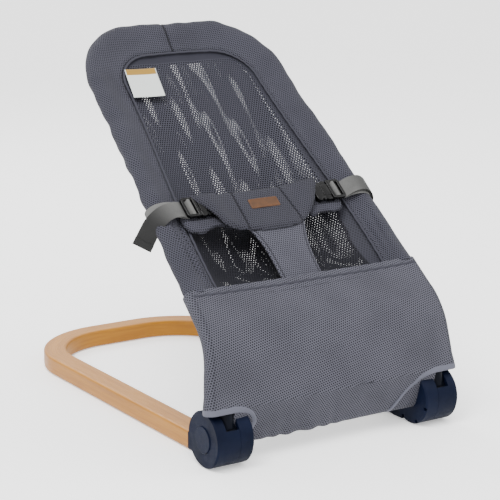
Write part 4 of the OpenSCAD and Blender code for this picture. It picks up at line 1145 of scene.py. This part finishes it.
# %% Moulded plastics
def moulded(name, light, dark, rough, grain=2600.0, depth=0.00012):
    f = Finish(name, Specular_IOR_Level=0.05)
    where = f.coords()
    spark = f.noise(where, grain, 2.0)
    cloud = f.noise(where, 24.0, 3.0)
    wipe = f.noise(where, 130.0, 4.0)
    f.set(Base_Color=f.mix(f.ramp(cloud, 0.3, 0.7), light, dark),
          Roughness=f.ramp(wipe, 0.3, 0.7, rough - 0.06, rough + 0.08))
    f.bump(spark, depth, 0.55)
    return f.material


def metal(name, colour, rough, grain, brushed=0.0, metallic=1.0, depth=0.00005):
    f = Finish(name, Metallic=metallic)
    where = f.coords()
    if brushed:
        x, y, z = f.split(where)
        where = f.join(x * brushed, y, z)
    grit = f.noise(where, grain, 3.0)
    tone = f.noise(f.coords(), 45.0, 3.0)
    f.set(Base_Color=f.mix(tone * 0.35, colour, srgb(60, 60, 64)),
          Roughness=f.ramp(grit, 0.3, 0.7, rough - 0.07, rough + 0.1))
    f.bump(grit, depth, 0.5)
    return f.material


finishes = {
    "shell_plastic": moulded("hub_shell", srgb(12, 18, 36), srgb(8, 13, 28), 0.46),
    "button_plastic": moulded("hub_button", srgb(14, 20, 38), srgb(10, 15, 30), 0.4, 3400.0, 0.00008),
    "knuckle_plastic": moulded("knuckle", srgb(10, 13, 22), srgb(7, 9, 16), 0.42),
    "ring_plastic": moulded("acetal_ring", srgb(228, 227, 220), srgb(214, 212, 204), 0.35, 1800.0, 0.00004),
    "rubber": moulded("pad_rubber", srgb(34, 34, 36), srgb(24, 24, 26), 0.7, 1500.0, 0.0002),
    "tube_steel": metal("powder_coat", srgb(52, 55, 62), 0.45, 1600.0, metallic=0.25, depth=0.00012),
    "fastener_steel": metal("zinc_plate", srgb(196, 198, 202), 0.28, 1200.0, 0.2),
    "gear_metal": metal("sintered_gear", srgb(176, 168, 150), 0.42, 2200.0, depth=0.00015),
    "spring_steel": metal("spring_wire", srgb(190, 192, 198), 0.25, 1500.0, 0.1),
}
dressed = 0
for part in frame["record"]["subparts"]:
    node = frame["nodes"].get(part["node"])
    if node is not None and part["material_slot"] in finishes:
        node.data.materials.clear()
        node.data.materials.append(finishes[part["material_slot"]])
        dressed += 1
print(dressed, "CAD parts dressed")

# %% [markdown]
# ## Floor, light and camera
# The seat stands on a plain pale floor, under one wide light from above and large soft lamps.

# %% Floor and backdrop
ground = Finish("pale_floor", Roughness=0.6, Specular_IOR_Level=0.2,
                Emission_Color=(1, 1, 1, 1), Emission_Strength=0.45)
pale = ground.noise(ground.coords(), 3.0)
ground.set(Base_Color=ground.mix(pale, srgb(246, 246, 246), srgb(250, 250, 250)))
flat_x, flat_y = np.meshgrid(np.linspace(-40000, 40000, 41), np.linspace(-40000, 40000, 41), indexing="ij")
floor = make("floor", grid(np.stack([flat_x, flat_y, np.full(flat_x.shape, -0.2)], -1)), closed=False)
floor.data.materials.append(ground.material)

world = bpy.data.worlds.new("soft_room")
bpy.context.scene.world = world
world.use_nodes = True
world.node_tree.nodes["Background"].inputs[0].default_value = (1.0, 1.0, 1.0, 1.0)
world.node_tree.nodes["Background"].inputs[1].default_value = 1.5


# %% Lamps
sun = bpy.data.lights.new("window", "SUN")
sun.energy, sun.angle = 2.6, 0.7
sun_obj = bpy.data.objects.new("window", sun)
sun_obj.rotation_euler = (np.radians(24), np.radians(-26), 0)
bpy.context.scene.collection.objects.link(sun_obj)


def lamp(name, place, aim, size, power):
    data = bpy.data.lights.new(name, "AREA")
    data.shape, data.size, data.energy = "DISK", size, power
    obj = bpy.data.objects.new(name, data)
    way = unit(np.array(place) - np.array(aim))
    side = unit(np.cross([0, 0, 1.0], way))
    turn = np.stack([side, np.cross(way, side), way], 1)
    obj.matrix_world = Matrix.Translation(place) @ Matrix(turn.tolist()).to_4x4()
    bpy.context.scene.collection.objects.link(obj)


lamp("key", (-1.3, -0.6, 2.4), (0, 0, 0.2), 1.0, 40)
lamp("fill", (1.9, -1.6, 1.6), (0, 0, 0.2), 1.6, 20)
lamp("rim", (0.3, 2.2, 1.9), (0, 0, 0.3), 1.2, 30)

# %% Camera
yaw, pitch, roll = 0.5689, 0.2269, -0.0023
ahead = np.array([np.sin(yaw) * np.cos(pitch), np.cos(yaw) * np.cos(pitch), -np.sin(pitch)])
right = np.array([np.cos(yaw), -np.sin(yaw), 0])
up = np.cross(right, ahead)
right, up = np.cos(roll) * right + np.sin(roll) * up, np.cos(roll) * up - np.sin(roll) * right
cam = bpy.data.cameras.new("camera")
cam.sensor_width, cam.lens, cam.clip_end = 36.0, 126.8908, 50.0
eye = bpy.data.objects.new("camera", cam)
place = np.array([-1361.188, -1928.925 + PIVOT[1], 820.832]) * MM
eye.matrix_world = Matrix.Translation(place) @ Matrix(np.stack([right, up, -ahead], 1).tolist()).to_4x4()
bpy.context.scene.collection.objects.link(eye)
bpy.context.scene.camera = eye
